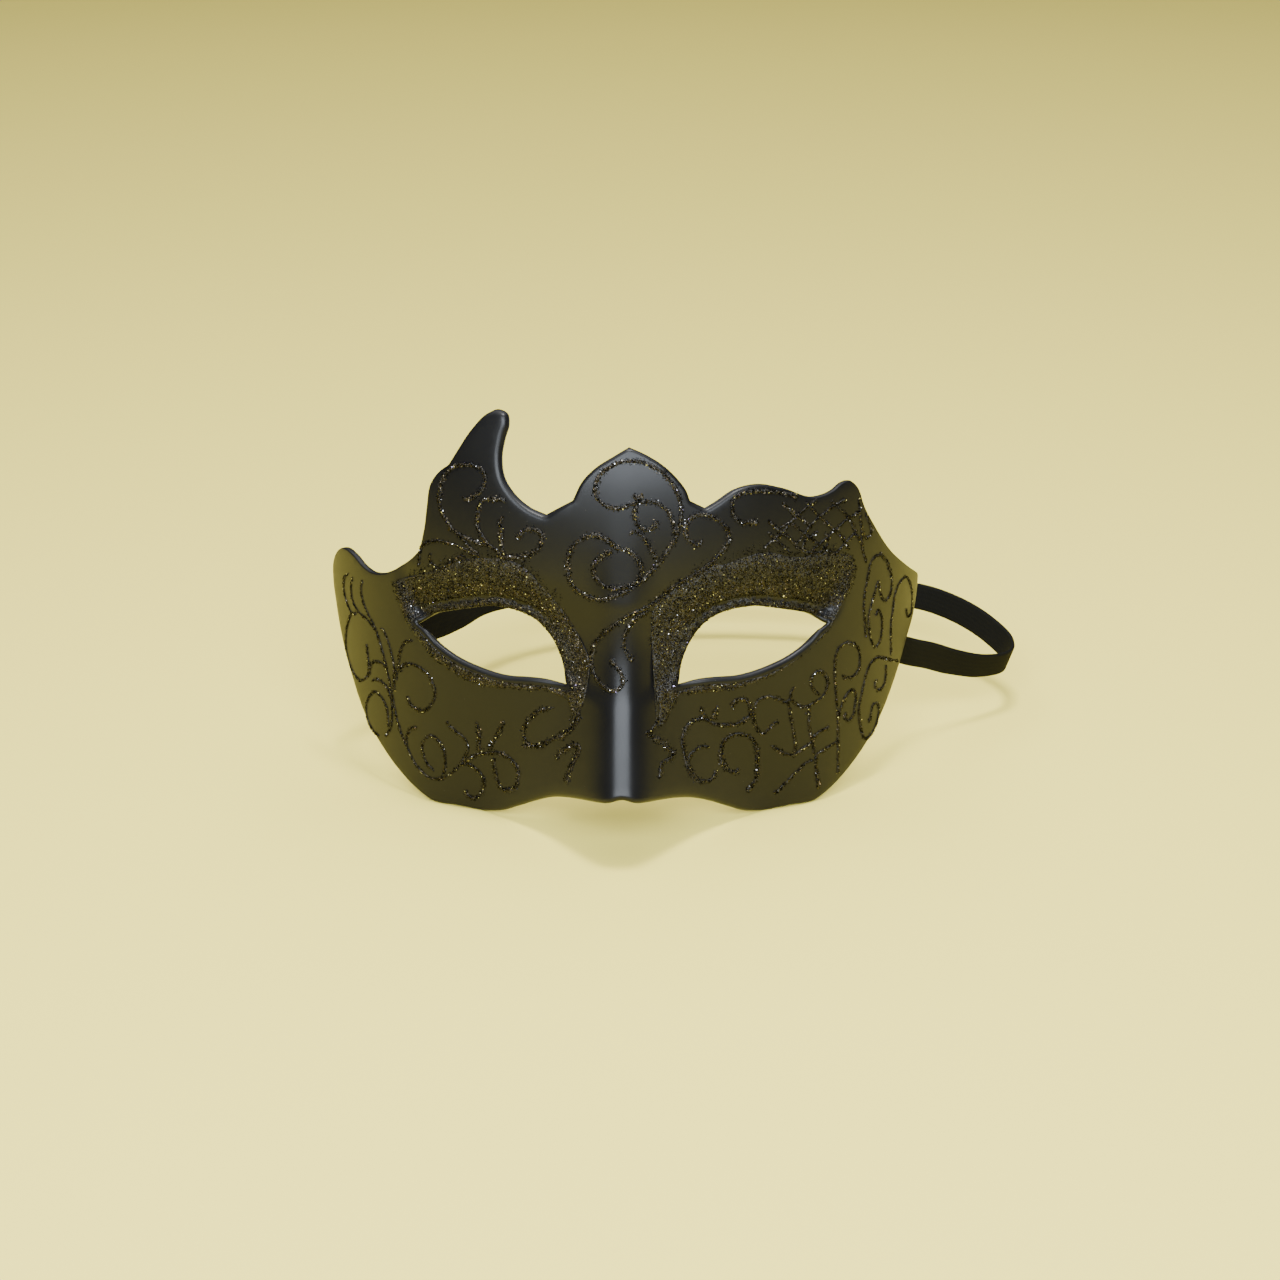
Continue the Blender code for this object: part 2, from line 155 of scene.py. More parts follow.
# Outer edge from the nose's lower end, past the left cheek: across, up, kind
OUTLINE = (
    (0.000, 0.184, ROUND), (-0.070, 0.168, ROUND), (-0.152, 0.143, ROUND), (-0.235, 0.110, ROUND),
    (-0.290, 0.080, ROUND), (-0.356, 0.042, ROUND), (-0.410, 0.014, ROUND), (-0.460, 0.000, ROUND),
    (-0.560, 0.000, ROUND), (-0.640, 0.000, ROUND), (-0.690, 0.018, ROUND), (-0.771, 0.064, ROUND),
    (-0.823, 0.105, ROUND), (-0.862, 0.142, ROUND), (-0.895, 0.191, ROUND), (-0.921, 0.244, ROUND),
    (-0.944, 0.297, ROUND), (-0.962, 0.353, ROUND), (-0.974, 0.410, ROUND), (-0.983, 0.469, ROUND),
    (-0.981, 0.512, ROUND), (-0.964, 0.552, ROUND), (-0.925, 0.581, ROUND), (-0.888, 0.576, ROUND),
    (-0.858, 0.562, ROUND), (-0.825, 0.556, ROUND), (-0.791, 0.562, ROUND), (-0.740, 0.586, ROUND),
    (-0.692, 0.618, ROUND), (-0.651, 0.655, CORNER), (-0.632, 0.720, ROUND), (-0.624, 0.765, ROUND),
    (-0.612, 0.814, ROUND), (-0.585, 0.845, ROUND), (-0.551, 0.866, CORNER), (-0.522, 0.900, ROUND),
    (-0.474, 0.952, ROUND), (-0.425, 0.988, ROUND), (-0.390, 1.000, ROUND), (-0.361, 0.992, ROUND),
    (-0.357, 0.973, ROUND), (-0.370, 0.940, ROUND), (-0.380, 0.900, ROUND), (-0.371, 0.854, ROUND),
    (-0.345, 0.826, ROUND), (-0.289, 0.795, ROUND), (-0.239, 0.782, CORNER), (-0.204, 0.797, ROUND),
    (-0.154, 0.817, CORNER), (-0.123, 0.860, ROUND), (-0.086, 0.887, ROUND), (-0.024, 0.915, ROUND),
    (0.023, 0.934, CORNER), (0.069, 0.920, ROUND), (0.131, 0.893, ROUND), (0.175, 0.863, ROUND),
    (0.203, 0.836, ROUND), (0.215, 0.814, CORNER), (0.262, 0.796, CORNER), (0.300, 0.810, ROUND),
    (0.350, 0.830, ROUND), (0.423, 0.837, ROUND), (0.510, 0.819, ROUND), (0.612, 0.786, ROUND),
    (0.672, 0.790, ROUND), (0.706, 0.802, ROUND), (0.730, 0.802, ROUND), (0.754, 0.786, ROUND),
    (0.787, 0.725, ROUND), (0.825, 0.670, ROUND), (0.880, 0.598, ROUND), (0.952, 0.526, ROUND),
    (1.005, 0.474, CORNER), (1.003, 0.440, ROUND), (0.990, 0.375, ROUND), (0.966, 0.326, ROUND),
    (0.934, 0.259, ROUND), (0.905, 0.207, ROUND), (0.871, 0.157, ROUND), (0.827, 0.109, ROUND),
    (0.770, 0.064, ROUND), (0.690, 0.018, ROUND), (0.640, 0.000, ROUND), (0.560, 0.000, ROUND),
    (0.460, 0.000, ROUND), (0.410, 0.014, ROUND), (0.356, 0.042, ROUND), (0.290, 0.080, ROUND),
    (0.228, 0.112, ROUND), (0.152, 0.143, ROUND), (0.070, 0.168, ROUND),
)

# Edge of one eye opening from its inner corner over the upper lid: across, up, kind
EYE = (
    (0.181, 0.378, CORNER), (0.187, 0.410, ROUND), (0.203, 0.450, ROUND), (0.235, 0.492, ROUND),
    (0.278, 0.522, ROUND), (0.334, 0.537, ROUND), (0.405, 0.540, ROUND), (0.500, 0.522, ROUND),
    (0.590, 0.497, ROUND), (0.668, 0.468, CORNER), (0.642, 0.456, ROUND), (0.602, 0.430, ROUND),
    (0.548, 0.408, ROUND), (0.470, 0.390, ROUND), (0.377, 0.379, ROUND), (0.270, 0.383, ROUND),
)

# Free run of the strap, left temple to right temple, as in the part's source: across as a share of
# HALF_WIDTH, back behind WRAP_DEPTH as a share of STRAP_LOOP, and up as a share of HEIGHT
STRAP_RUN = (
    (-0.918, -0.023, 0.315), (-0.880, 0.080, 0.292), (-0.790, 0.190, 0.267), (-0.688, 0.300, 0.246),
    (-0.597, 0.448, 0.237), (-0.528, 0.599, 0.231), (-0.409, 0.759, 0.212), (-0.216, 0.897, 0.188),
    (0.057, 0.977, 0.175), (0.398, 1.000, 0.171), (0.739, 0.965, 0.171), (0.966, 0.908, 0.175),
    (1.114, 0.838, 0.181), (1.239, 0.723, 0.175), (1.335, 0.587, 0.160), (1.392, 0.448, 0.142),
    (1.369, 0.322, 0.143), (1.273, 0.235, 0.156), (1.153, 0.153, 0.192), (1.057, 0.070, 0.235),
    (1.000, 0.018, 0.258), (0.950, -0.023, 0.278),
)

# How far the band's upper edge leans outward in the free run, in degrees, and the shares of the run
# at its two ends over which it comes upright
STRAP_LEAN = 18.0
LEAN_ENDS = (0.25, 0.20)

# Where the strap's ends lie against the inner faces of the temples: across, up
LEFT_SEAT = ((-0.800, 0.325), (-0.862, 0.325), (-0.915, 0.324))
RIGHT_SEAT = ((0.905, 0.298), (0.855, 0.300), (0.795, 0.300))

# Glitter lines as read in the photograph, in its pixels, each to its drop of glue
SCROLLS = {
    "horn_curl": (
        (462, 496), (466, 499), (473, 497), (480, 492), (484, 485), (485, 477), (482, 470), (475, 466),
        (465, 465), (455, 466), (448, 471), (442, 480), (440, 490), (439, 501), (441, 511), (446, 520),
        (452, 529), (459, 535), (468, 539), (478, 543), (488, 545), (495, 549), (501, 556), (510, 557),
        (520, 557), (530, 554), (538, 549), (542, 541), (541, 534), (536, 530), (530, 529), (522, 533),
        (516, 539),
    ),
    "horn_leaf": (
        (506, 503), (501, 499), (495, 499), (488, 499), (482, 501), (479, 508), (478, 516), (477, 525),
        (481, 534), (485, 541), (490, 547),
    ),
    "horn_stem": ((504, 516), (500, 521), (501, 530), (501, 540), (502, 549), (504, 556),),
    "brow_loop": (
        (418, 567), (419, 560), (420, 551), (423, 545), (430, 542), (438, 541), (448, 543), (458, 546),
        (466, 550), (474, 554), (481, 556),
    ),
    "brow_inner": (
        (431, 553), (429, 558), (431, 563), (435, 568), (442, 568), (450, 564), (457, 559), (465, 555),
    ),
    "brow_link": ((459, 535), (466, 543), (472, 550), (480, 555),),
    "crown_loop": (
        (639, 498), (636, 503), (630, 505), (622, 508), (612, 508), (603, 504), (597, 498), (595, 490),
        (597, 480), (603, 472), (612, 466), (622, 462), (632, 461), (642, 462), (652, 466), (662, 472),
        (669, 479), (675, 488), (679, 498), (681, 508), (681, 518), (679, 528), (676, 538), (671, 546),
        (664, 556), (657, 565), (650, 573), (643, 580), (635, 587), (625, 592), (612, 597), (600, 600),
        (588, 597), (578, 591), (571, 583), (568, 572), (568, 560), (571, 550), (576, 543), (584, 538),
        (594, 535), (603, 538), (611, 543), (618, 549), (627, 550), (634, 555), (640, 563), (641, 573),
        (637, 581), (630, 586), (620, 588), (608, 588), (600, 583), (595, 576), (593, 567), (598, 560),
        (606, 554), (614, 550),
    ),
    "crown_hook": ((638, 505), (634, 512), (635, 520), (640, 527), (648, 530), (655, 526), (658, 519),),
    "crown_bow": (
        (637, 503), (645, 502), (653, 502), (660, 505), (667, 510), (671, 518), (674, 527), (676, 536),
    ),
    "crown_twig": ((629, 535), (635, 531), (640, 534), (645, 539), (649, 546), (653, 553), (657, 560),),
    "crown_star_a": ((638, 502), (636, 497), (632, 493),),
    "crown_star_b": ((638, 502), (641, 497), (644, 493),),
    "right_hook": (
        (759, 523), (751, 522), (743, 523), (737, 520), (733, 513), (732, 505), (735, 498), (740, 494),
        (750, 492), (762, 491), (775, 492), (788, 494), (799, 497),
    ),
    "right_curl": (
        (703, 540), (698, 545), (690, 541), (685, 534), (686, 526), (690, 519), (698, 515), (706, 515),
        (714, 518), (722, 523), (728, 531), (729, 540), (725, 548), (718, 556), (710, 564), (701, 571),
        (690, 578), (678, 584), (668, 591), (660, 599), (650, 606), (640, 611), (630, 615), (622, 620),
        (613, 626), (607, 631), (600, 637), (595, 643), (592, 652), (591, 662), (593, 673), (598, 681),
        (604, 687), (612, 691), (620, 688), (623, 681), (621, 673), (617, 667), (612, 662), (611, 657),
    ),
    "bridge_twig": (
        (650, 611), (643, 614), (635, 619), (629, 626), (625, 634), (624, 642), (625, 650), (629, 657),
        (634, 662),
    ),
    "net_a": ((782, 502), (788, 508), (795, 515), (804, 521), (813, 527),),
    "net_b": (
        (806, 502), (812, 508), (818, 515), (825, 521), (832, 528), (838, 533), (845, 541), (849, 551),
    ),
    "net_c": ((831, 500), (838, 507), (846, 515), (852, 524), (856, 533), (861, 543),),
    "net_d": ((768, 520), (775, 527), (783, 533), (791, 540), (798, 547), (806, 553),),
    "net_e": ((768, 532), (775, 539), (783, 546), (790, 552),),
    "net_f": ((799, 530), (808, 537), (817, 543), (826, 549), (835, 555),),
    "net_g": ((778, 538), (785, 530), (790, 523), (797, 516), (804, 510), (811, 504), (818, 500),),
    "net_h": (
        (795, 546), (802, 538), (808, 529), (815, 521), (823, 514), (831, 508), (839, 503), (847, 499),
    ),
    "net_i": ((812, 551), (820, 544), (829, 536), (838, 528), (845, 521), (853, 516), (860, 512),),
    "net_j": ((835, 555), (842, 547), (849, 539), (856, 533),),
    "net_k": ((765, 547), (773, 541), (781, 534),),
    "net_ring": (
        (818, 531), (812, 536), (805, 541), (803, 548), (811, 553), (820, 552), (827, 546), (828, 538),
        (824, 532),
    ),
    "net_spark": ((780, 528), (785, 525), (790, 523), (796, 527), (800, 530),),
    "temple_feeler_a": ((348, 573), (344, 579), (344, 592), (347, 603), (351, 612), (357, 614),),
    "temple_feeler_b": (
        (352, 577), (351, 590), (353, 602), (357, 610), (363, 616), (369, 622), (375, 630),
    ),
    "temple_feeler_c": (
        (362, 580), (361, 590), (363, 602), (368, 614), (374, 626), (378, 637), (382, 650), (385, 662),
        (388, 675), (391, 690), (394, 705), (397, 720), (401, 733), (406, 745), (412, 758), (420, 770),
        (430, 778), (442, 778), (453, 772), (461, 763), (467, 753), (467, 744), (463, 737), (456, 732),
        (448, 725),
    ),
    "temple_oval": (
        (352, 612), (348, 622), (346, 634), (346, 648), (349, 661), (353, 672), (360, 680), (366, 678),
        (369, 670), (368, 660), (367, 650), (366, 643),
    ),
    "temple_arc_a": ((369, 676), (370, 668), (373, 662), (379, 662), (384, 665), (388, 670),),
    "temple_arc_b": (
        (372, 681), (378, 680), (384, 684), (388, 690), (391, 700), (392, 714), (391, 726), (385, 737),
    ),
    "temple_ring": (
        (388, 727), (388, 717), (386, 706), (382, 698), (375, 692), (369, 697), (366, 708), (368, 721),
        (373, 731), (380, 737),
    ),
    "temple_leaf": ((381, 628), (385, 634), (389, 645), (392, 657), (394, 668), (394, 680), (394, 692),),
    "temple_arch": ((413, 641), (405, 642), (401, 649), (399, 659), (397, 670), (396, 682),),
    "cheek_curl": (
        (396, 672), (401, 667), (410, 664), (420, 668), (428, 675), (433, 685), (435, 696), (431, 705),
        (424, 711), (416, 709), (410, 704), (407, 695),
    ),
    "cheek_bud": ((417, 727), (411, 729), (407, 735), (406, 742), (407, 748),),
    "cheek_ring": (
        (434, 771), (428, 765), (424, 757), (422, 747), (425, 739), (432, 736), (438, 741), (443, 749),
        (445, 758), (445, 768), (443, 776),
    ),
    "star_up": ((476, 722), (478, 728), (479, 735), (479, 744), (480, 753),),
    "star_right": ((504, 721), (500, 730), (496, 737), (492, 744), (489, 751),),
    "star_ring": (
        (462, 765), (470, 758), (480, 754), (490, 753), (500, 753), (508, 757), (514, 763), (518, 771),
        (518, 780), (515, 787), (509, 790), (502, 789), (498, 783), (496, 775), (494, 765), (493, 757),
    ),
    "star_hook": (
        (461, 765), (468, 764), (475, 768), (481, 774), (484, 782), (483, 790), (479, 796), (472, 798),
        (467, 795), (466, 789),
    ),
    "star_twig": ((448, 725), (446, 720),),
    "nose_hook": (
        (554, 708), (546, 709), (539, 711), (533, 716), (527, 721), (524, 728), (523, 735), (526, 742),
        (533, 746), (542, 744), (551, 740), (560, 737), (567, 732), (573, 727), (577, 720), (579, 712),
    ),
    "nose_hook_foot": ((522, 746), (530, 746), (540, 746), (548, 742),),
    "nose_flash_left": (
        (556, 760), (560, 752), (567, 749), (574, 745), (579, 746), (577, 754), (573, 762), (570, 770),
        (567, 778), (566, 785),
    ),
    "nose_bud": ((645, 733), (650, 732), (655, 726), (660, 721),),
    "nose_flash_right": (
        (647, 735), (655, 738), (662, 742), (669, 749), (674, 756), (668, 760), (662, 763), (661, 771),
        (660, 780),
    ),
    "swirl_outer": (
        (733, 709), (734, 702), (741, 699), (748, 702), (751, 709), (750, 716), (743, 721), (735, 725),
        (725, 725), (715, 724), (707, 720), (700, 719), (692, 722), (686, 729), (683, 738), (684, 750),
        (687, 762), (692, 774), (700, 781), (708, 781), (714, 777), (716, 769),
    ),
    "swirl_inner": ((709, 747), (702, 747), (695, 750), (690, 756), (688, 763),),
    "swirl_bud_a": ((718, 706), (715, 712), (714, 721),),
    "swirl_bud_b": ((701, 707), (703, 714), (704, 720),),
    "ring_link": (
        (795, 687), (791, 692), (790, 699), (786, 702), (776, 698), (766, 697), (758, 701), (754, 709),
        (754, 719), (757, 729), (763, 734), (769, 729), (774, 724), (779, 721),
    ),
    "swirl_low": (
        (738, 768), (737, 772), (732, 772), (726, 768), (722, 761), (721, 752), (723, 743), (729, 737),
        (737, 734), (745, 735), (751, 738), (755, 744), (757, 752), (757, 762), (757, 772), (755, 781),
        (750, 788), (746, 793),
    ),
    "cheek_stem": ((788, 702), (790, 712), (792, 722), (794, 733), (795, 744), (795, 755),),
    "cheek_star_a": (
        (771, 746), (778, 750), (786, 754), (794, 755), (802, 749), (811, 743), (816, 735), (823, 730),
        (831, 727),
    ),
    "cheek_star_b": (
        (813, 760), (805, 764), (799, 770), (793, 775), (788, 781), (782, 787), (778, 791), (772, 793),
    ),
    "cheek_rail": (
        (838, 741), (830, 746), (823, 751), (817, 755), (816, 764), (817, 774), (818, 783), (819, 789),
    ),
    "cheek_rung": ((809, 706), (809, 715), (809, 725), (811, 735), (813, 745), (815, 755),),
    "cheek_bow": (
        (790, 699), (796, 704), (805, 707), (812, 704), (820, 699), (826, 691), (828, 683), (826, 676),
        (820, 671), (814, 674), (811, 682), (814, 690), (820, 696),
    ),
    "cheek_bud_right": ((807, 715), (805, 711),),
    "side_line": (
        (842, 675), (847, 678), (854, 676), (859, 669), (860, 659), (859, 650), (854, 644), (846, 643),
        (839, 648), (836, 656), (835, 668), (835, 680), (836, 692), (837, 705), (838, 720), (838, 735),
        (838, 750), (838, 765), (838, 774),
    ),
    "side_curl": (
        (839, 718), (841, 708), (844, 700), (848, 693), (853, 690), (856, 697), (855, 707), (853, 716),
        (849, 721), (845, 717), (847, 711),
    ),
    "side_oval": (
        (898, 661), (891, 660), (884, 658), (877, 658), (871, 663), (867, 672), (864, 684), (861, 697),
        (859, 710), (860, 723), (862, 733), (866, 739), (872, 733), (877, 722), (879, 711), (877, 703),
        (873, 705), (871, 714), (869, 724),
    ),
    "side_hook": ((886, 665), (886, 675), (884, 685), (879, 690), (875, 686), (877, 678),),
    "temple_line": ((859, 498), (860, 510), (861, 522), (862, 533), (862, 543), (863, 552), (867, 563),),
    "temple_spark": ((866, 513), (868, 520), (871, 528), (871, 535), (866, 537), (862, 531),),
    "temple_loop": (
        (866, 637), (865, 622), (864, 607), (865, 592), (868, 577), (870, 566), (873, 559), (879, 555),
        (886, 560), (890, 570), (892, 583), (890, 595), (885, 601), (881, 594), (878, 582), (875, 592),
        (872, 603), (869, 615), (869, 628), (871, 640), (876, 647), (880, 641), (882, 629), (882, 618),
        (878, 611), (875, 618),
    ),
    "temple_hoop": (
        (891, 655), (891, 640), (891, 625), (893, 609), (895, 595), (899, 584), (905, 577), (910, 583),
        (912, 593), (912, 604), (911, 613), (908, 617), (906, 608),
    ),
}

# Borders of the glitter round the eyes, read in the same way
SOCKETS = {
    "left": (
        (392, 582), (398, 579), (407, 578), (418, 575), (430, 569), (443, 568), (455, 561), (468, 557),
        (480, 557), (492, 557), (503, 557), (515, 561), (525, 566), (535, 575), (542, 585), (552, 595),
        (562, 607), (572, 622), (580, 637), (587, 650), (591, 660), (590, 672), (588, 685), (585, 700),
        (581, 713), (577, 724), (570, 731), (569, 722), (571, 712), (570, 703), (566, 696), (558, 694),
        (545, 692), (530, 691), (515, 690), (500, 689), (485, 687), (475, 684), (466, 681), (456, 675),
        (446, 668), (436, 661), (428, 653), (421, 644), (414, 634), (407, 623), (401, 610), (396, 597),
    ),
    "right": (
        (649, 640), (651, 628), (650, 612), (656, 603), (668, 592), (680, 585), (692, 579), (702, 571),
        (710, 566), (718, 563), (727, 563), (736, 560), (745, 556), (756, 553), (768, 552), (780, 554),
        (792, 557), (805, 556), (815, 552), (826, 551), (838, 553), (848, 552), (855, 560), (857, 570),
        (855, 580), (850, 592), (844, 601), (838, 611), (834, 622), (829, 631), (820, 641), (808, 651),
        (796, 661), (783, 670), (768, 678), (754, 684), (738, 689), (722, 692), (705, 693), (690, 694),
        (678, 696), (677, 702), (671, 709), (669, 717), (665, 724), (659, 729), (655, 723), (659, 713),
        (657, 702), (655, 690), (653, 678), (655, 664),
    ),
}

# Lines drawn with less glitter than the rest: beginning of the name, share of the full width
LINE_SHARES = (
    ("net", 0.62), ("side", 0.66), ("temple", 0.58), ("cheek", 0.72), ("brow", 0.72), ("star", 0.82),
    ("swirl", 0.88), ("ring", 0.78), ("nose", 0.88), ("bridge", 0.90), ("horn", 0.95),
)


class MaskForm(PropertyGroup):
    """Wall, rims and mesh of the moulded shell."""

    wall: FloatProperty(name="Wall", description="Thickness of the plastic", default=WALL, unit="LENGTH")
    rim_radius: FloatProperty(
        name="Rim radius", description="Rounding of the outer edge's front side",
        default=0.0010, unit="LENGTH")
    notch_radius: FloatProperty(
        name="Notch radius", description="Rounding of the edge beside the horn and crown",
        default=0.0019, unit="LENGTH")
    lid_radius: FloatProperty(
        name="Lid radius", description="Rounding below the eye openings", default=0.0012, unit="LENGTH")
    back_radius: FloatProperty(
        name="Back radius", description="Rounding of the edges' inner side", default=0.0004, unit="LENGTH")
    crease_depth: FloatProperty(
        name="Crease depth", description="Depth of the fold above each eye opening",
        default=0.0011, unit="LENGTH")
    step: FloatProperty(
        name="Mesh step", description="Spacing of the shell's mesh", default=0.0015, unit="LENGTH")
    colour: FloatVectorProperty(
        name="Plastic", description="Colour of the plastic", default=(0.004, 0.004, 0.0045), subtype="COLOR")
    roughness: FloatProperty(
        name="Roughness", description="Satin finish of the plastic", default=0.36, min=0.0, max=1.0)


class GlitterForm(PropertyGroup):
    """Glue lines, glitter layers and their chips."""

    line_width: FloatProperty(
        name="Line width", description="Width of a drawn line of glitter glue", default=0.0018, unit="LENGTH")
    line_height: FloatProperty(
        name="Line height", description="How far a line stands out", default=0.00024, unit="LENGTH")
    layer_height: FloatProperty(
        name="Layer height", description="Thickness of the glitter round the eyes",
        default=0.00014, unit="LENGTH")
    chip_size: FloatProperty(
        name="Chip size", description="Usual size of a glitter chip", default=0.00020, unit="LENGTH")
    line_chips: IntProperty(
        name="Line chips", description="Chips in a square centimetre of line", default=1200, min=0)
    layer_chips: IntProperty(
        name="Layer chips", description="Chips in a square centimetre of layer", default=1250, min=0)
    colour: FloatVectorProperty(
        name="Glue", description="Colour of the glue between the chips",
        default=(0.006, 0.0055, 0.005), subtype="COLOR")
    seed: IntProperty(name="Seed", description="Seed of the chips' places", default=7)


class StrapForm(PropertyGroup):
    """Ribbed elastic band."""

    rib_pitch: FloatProperty(
        name="Rib pitch", description="Distance from rib to rib", default=0.00062, unit="LENGTH")
    rib_height: FloatProperty(
        name="Rib height", description="How far a rib stands out", default=0.00007, unit="LENGTH")
    channels: IntProperty(name="Channels", description="Rubber cords side by side", default=6, min=1)
    colour: FloatVectorProperty(
        name="Elastic", description="Colour of the yarn", default=(0.0022, 0.0023, 0.0019), subtype="COLOR")


class StageForm(PropertyGroup):
    """Paper, lamps and camera."""

    paper: FloatVectorProperty(
        name="Paper", description="Colour of the pale paper", default=(0.90, 0.76, 0.15), subtype="COLOR")
    room: FloatVectorProperty(
        name="Room", description="Colour of the room round the stage",
        default=(0.07, 0.075, 0.085), subtype="COLOR")
    key: FloatProperty(
        name="Key lamp", description="Power of the lamp above the mask", default=9.5, unit="POWER")
    ceiling: FloatProperty(
        name="Ceiling", description="Power of the wide soft ceiling", default=54.0, unit="POWER")
    front: FloatProperty(
        name="Front lamp", description="Power of the soft lamp in front", default=29.0, unit="POWER")
    lens: FloatProperty(name="Lens", description="Focal length of the camera", default=LENS, unit="CAMERA")


def smooth_step(low, high, value):
    """Rise from 0 at low to 1 at high with level ends."""
    share = np.clip((value - low) / (high - low), 0.0, 1.0)
    return share * share * (3.0 - 2.0 * share)


def blend_lower(first, second, width):
    """The lower of two depths, rounded over where they cross."""
    share = np.clip(0.5 + 0.5 * (second - first) / width, 0.0, 1.0)
    return second + (first - second) * share - width * share * (1.0 - share)


def wrap_depth(across):
    """Depth of the round plan curve that goes about the head."""
    held = np.minimum(np.abs(across), WRAP_LIMIT * WRAP_RADIUS)
    return WRAP_RADIUS - np.sqrt(WRAP_RADIUS ** 2 - held ** 2)


def eye_axis():
    """Inner corner of the right eye, the way to its outer corner, and the way up from that line."""
    start = np.array((EYE_INNER[0] * HALF_WIDTH, EYE_INNER[1] * HEIGHT))
    axis = np.array((EYE_OUTER[0] * HALF_WIDTH, EYE_OUTER[1] * HEIGHT)) - start
    rise = np.array((-axis[1], axis[0])) / np.hypot(*axis)
    return start, axis, rise


def beside_eye(across, up):
    """Share of the way from an eye's inner to its outer corner, and height above that line."""
    start, axis, rise = eye_axis()
    out, high = np.abs(across) - start[0], up - start[1]
    return (out * axis[0] + high * axis[1]) / (axis @ axis), out * rise[0] + high * rise[1]


def socket_depth(across, up):
    """Depth of the recess above and beside an eye, with a crisp outer side."""
    along, above = beside_eye(across, up)
    above = above / SOCKET_RISE
    side = smooth_step(*SOCKET_SIDE, along)
    side = side * (1.0 - smooth_step(*SOCKET_CREASE, along - CREASE_LEAN * above))
    fading = above + CREASE_DROP * smooth_step(0.60, 1.05, along)
    height = smooth_step(*SOCKET_START, above) * (1.0 - smooth_step(*SOCKET_FADE, fading))
    return SOCKET_DEPTH * side * height


def face_depth(across, up):
    """Distance back from the forehead's middle to the front surface of the shell."""
    brow = BROW_UP * HEIGHT
    eye = EYE_UP * HEIGHT
    depth = wrap_depth(across)
    depth = depth + FOREHEAD_LEAN * (np.maximum(up - brow, 0.0) / (HEIGHT - brow)) ** FOREHEAD_POWER
    recess = CHEEK_RECESS * (np.maximum(eye - up, 0.0) / eye) ** CHEEK_POWER
    depth = depth + recess * (1.0 - CHEEK_FADE_SHARE * smooth_step(*CHEEK_FADE, np.abs(across) / HALF_WIDTH))
    share = (up - NASION_UP * HEIGHT) / NOSE_LENGTH
    ridge = NOSE_REACH * np.where(share > 0.0, share, -np.abs(share) ** NOSE_CURVE)
    round_top = (np.abs(across) ** RIDGE_POWER + RIDGE_BAND ** RIDGE_POWER) ** (1.0 / RIDGE_POWER)
    ridge = ridge + NOSE_SLOPE * (round_top - RIDGE_BAND)
    return blend_lower(ridge, depth, NOSE_BLEND) + socket_depth(across, up)


def flatten(across, up):
    """Laid-out positions: arc length round the head, and height."""
    turn = np.arcsin(np.asarray(across) / WRAP_RADIUS)
    return np.stack((WRAP_RADIUS * turn, np.asarray(up, float)), axis=-1)


def unfold(flat):
    """Across and up of laid-out positions."""
    return WRAP_RADIUS * np.sin(flat[:, 0] / WRAP_RADIUS), flat[:, 1]


def bend(flat, reach=SLOPE_REACH):
    """Front surface points of laid-out positions, and unit directions into the wall."""
    across, up = unfold(flat)
    points = np.stack((across, face_depth(across, up), up), axis=1)
    slope_x = face_depth(across + reach, up) - face_depth(across - reach, up)
    slope_z = face_depth(across, up + reach) - face_depth(across, up - reach)
    inward = np.stack((-slope_x, np.full(len(across), 2.0 * reach), -slope_z), axis=1)
    return points + MASK_ORIGIN, inward / np.linalg.norm(inward, axis=1)[:, None]


def face_points(pixels):
    """Laid-out places where the photograph shows the mask's face at some of its pixels."""
    ahead = (CAMERA_TARGET - CAMERA_PLACE) / np.linalg.norm(CAMERA_TARGET - CAMERA_PLACE)
    right = np.cross(ahead, (0.0, 0.0, 1.0))
    right = right / np.linalg.norm(right)
    shift = (np.array(pixels) - 0.5 * PHOTO_WIDTH) * SENSOR_WIDTH / (PHOTO_WIDTH * LENS)
    rays = ahead + shift[:, :1] * right - shift[:, 1:] * np.cross(right, ahead)

    def behind_face(reach):
        spots = CAMERA_PLACE - MASK_ORIGIN + reach[..., None] * rays[:, None]
        held = np.abs(spots[..., 0]) < 0.95 * WRAP_RADIUS
        return held & (spots[..., 1] > face_depth(spots[..., 0], spots[..., 2])), spots

    steps = np.broadcast_to(np.linspace(*SIGHT_RANGE, 371), (len(rays), 371))
    found = behind_face(steps)[0]
    if not found.any(axis=1).all():
        raise ValueError("a pixel of the photograph misses the mask's face")
    far = np.take_along_axis(steps, found.argmax(axis=1)[:, None], axis=1)
    near = far - (steps[0, 1] - steps[0, 0])
    for _ in range(12):
        middle = 0.5 * (near + far)
        past = behind_face(middle)[0]
        near, far = np.where(past, near, middle), np.where(past, middle, far)
    spots = behind_face(far)[1][:, 0]
    return flatten(spots[:, 0], spots[:, 2])


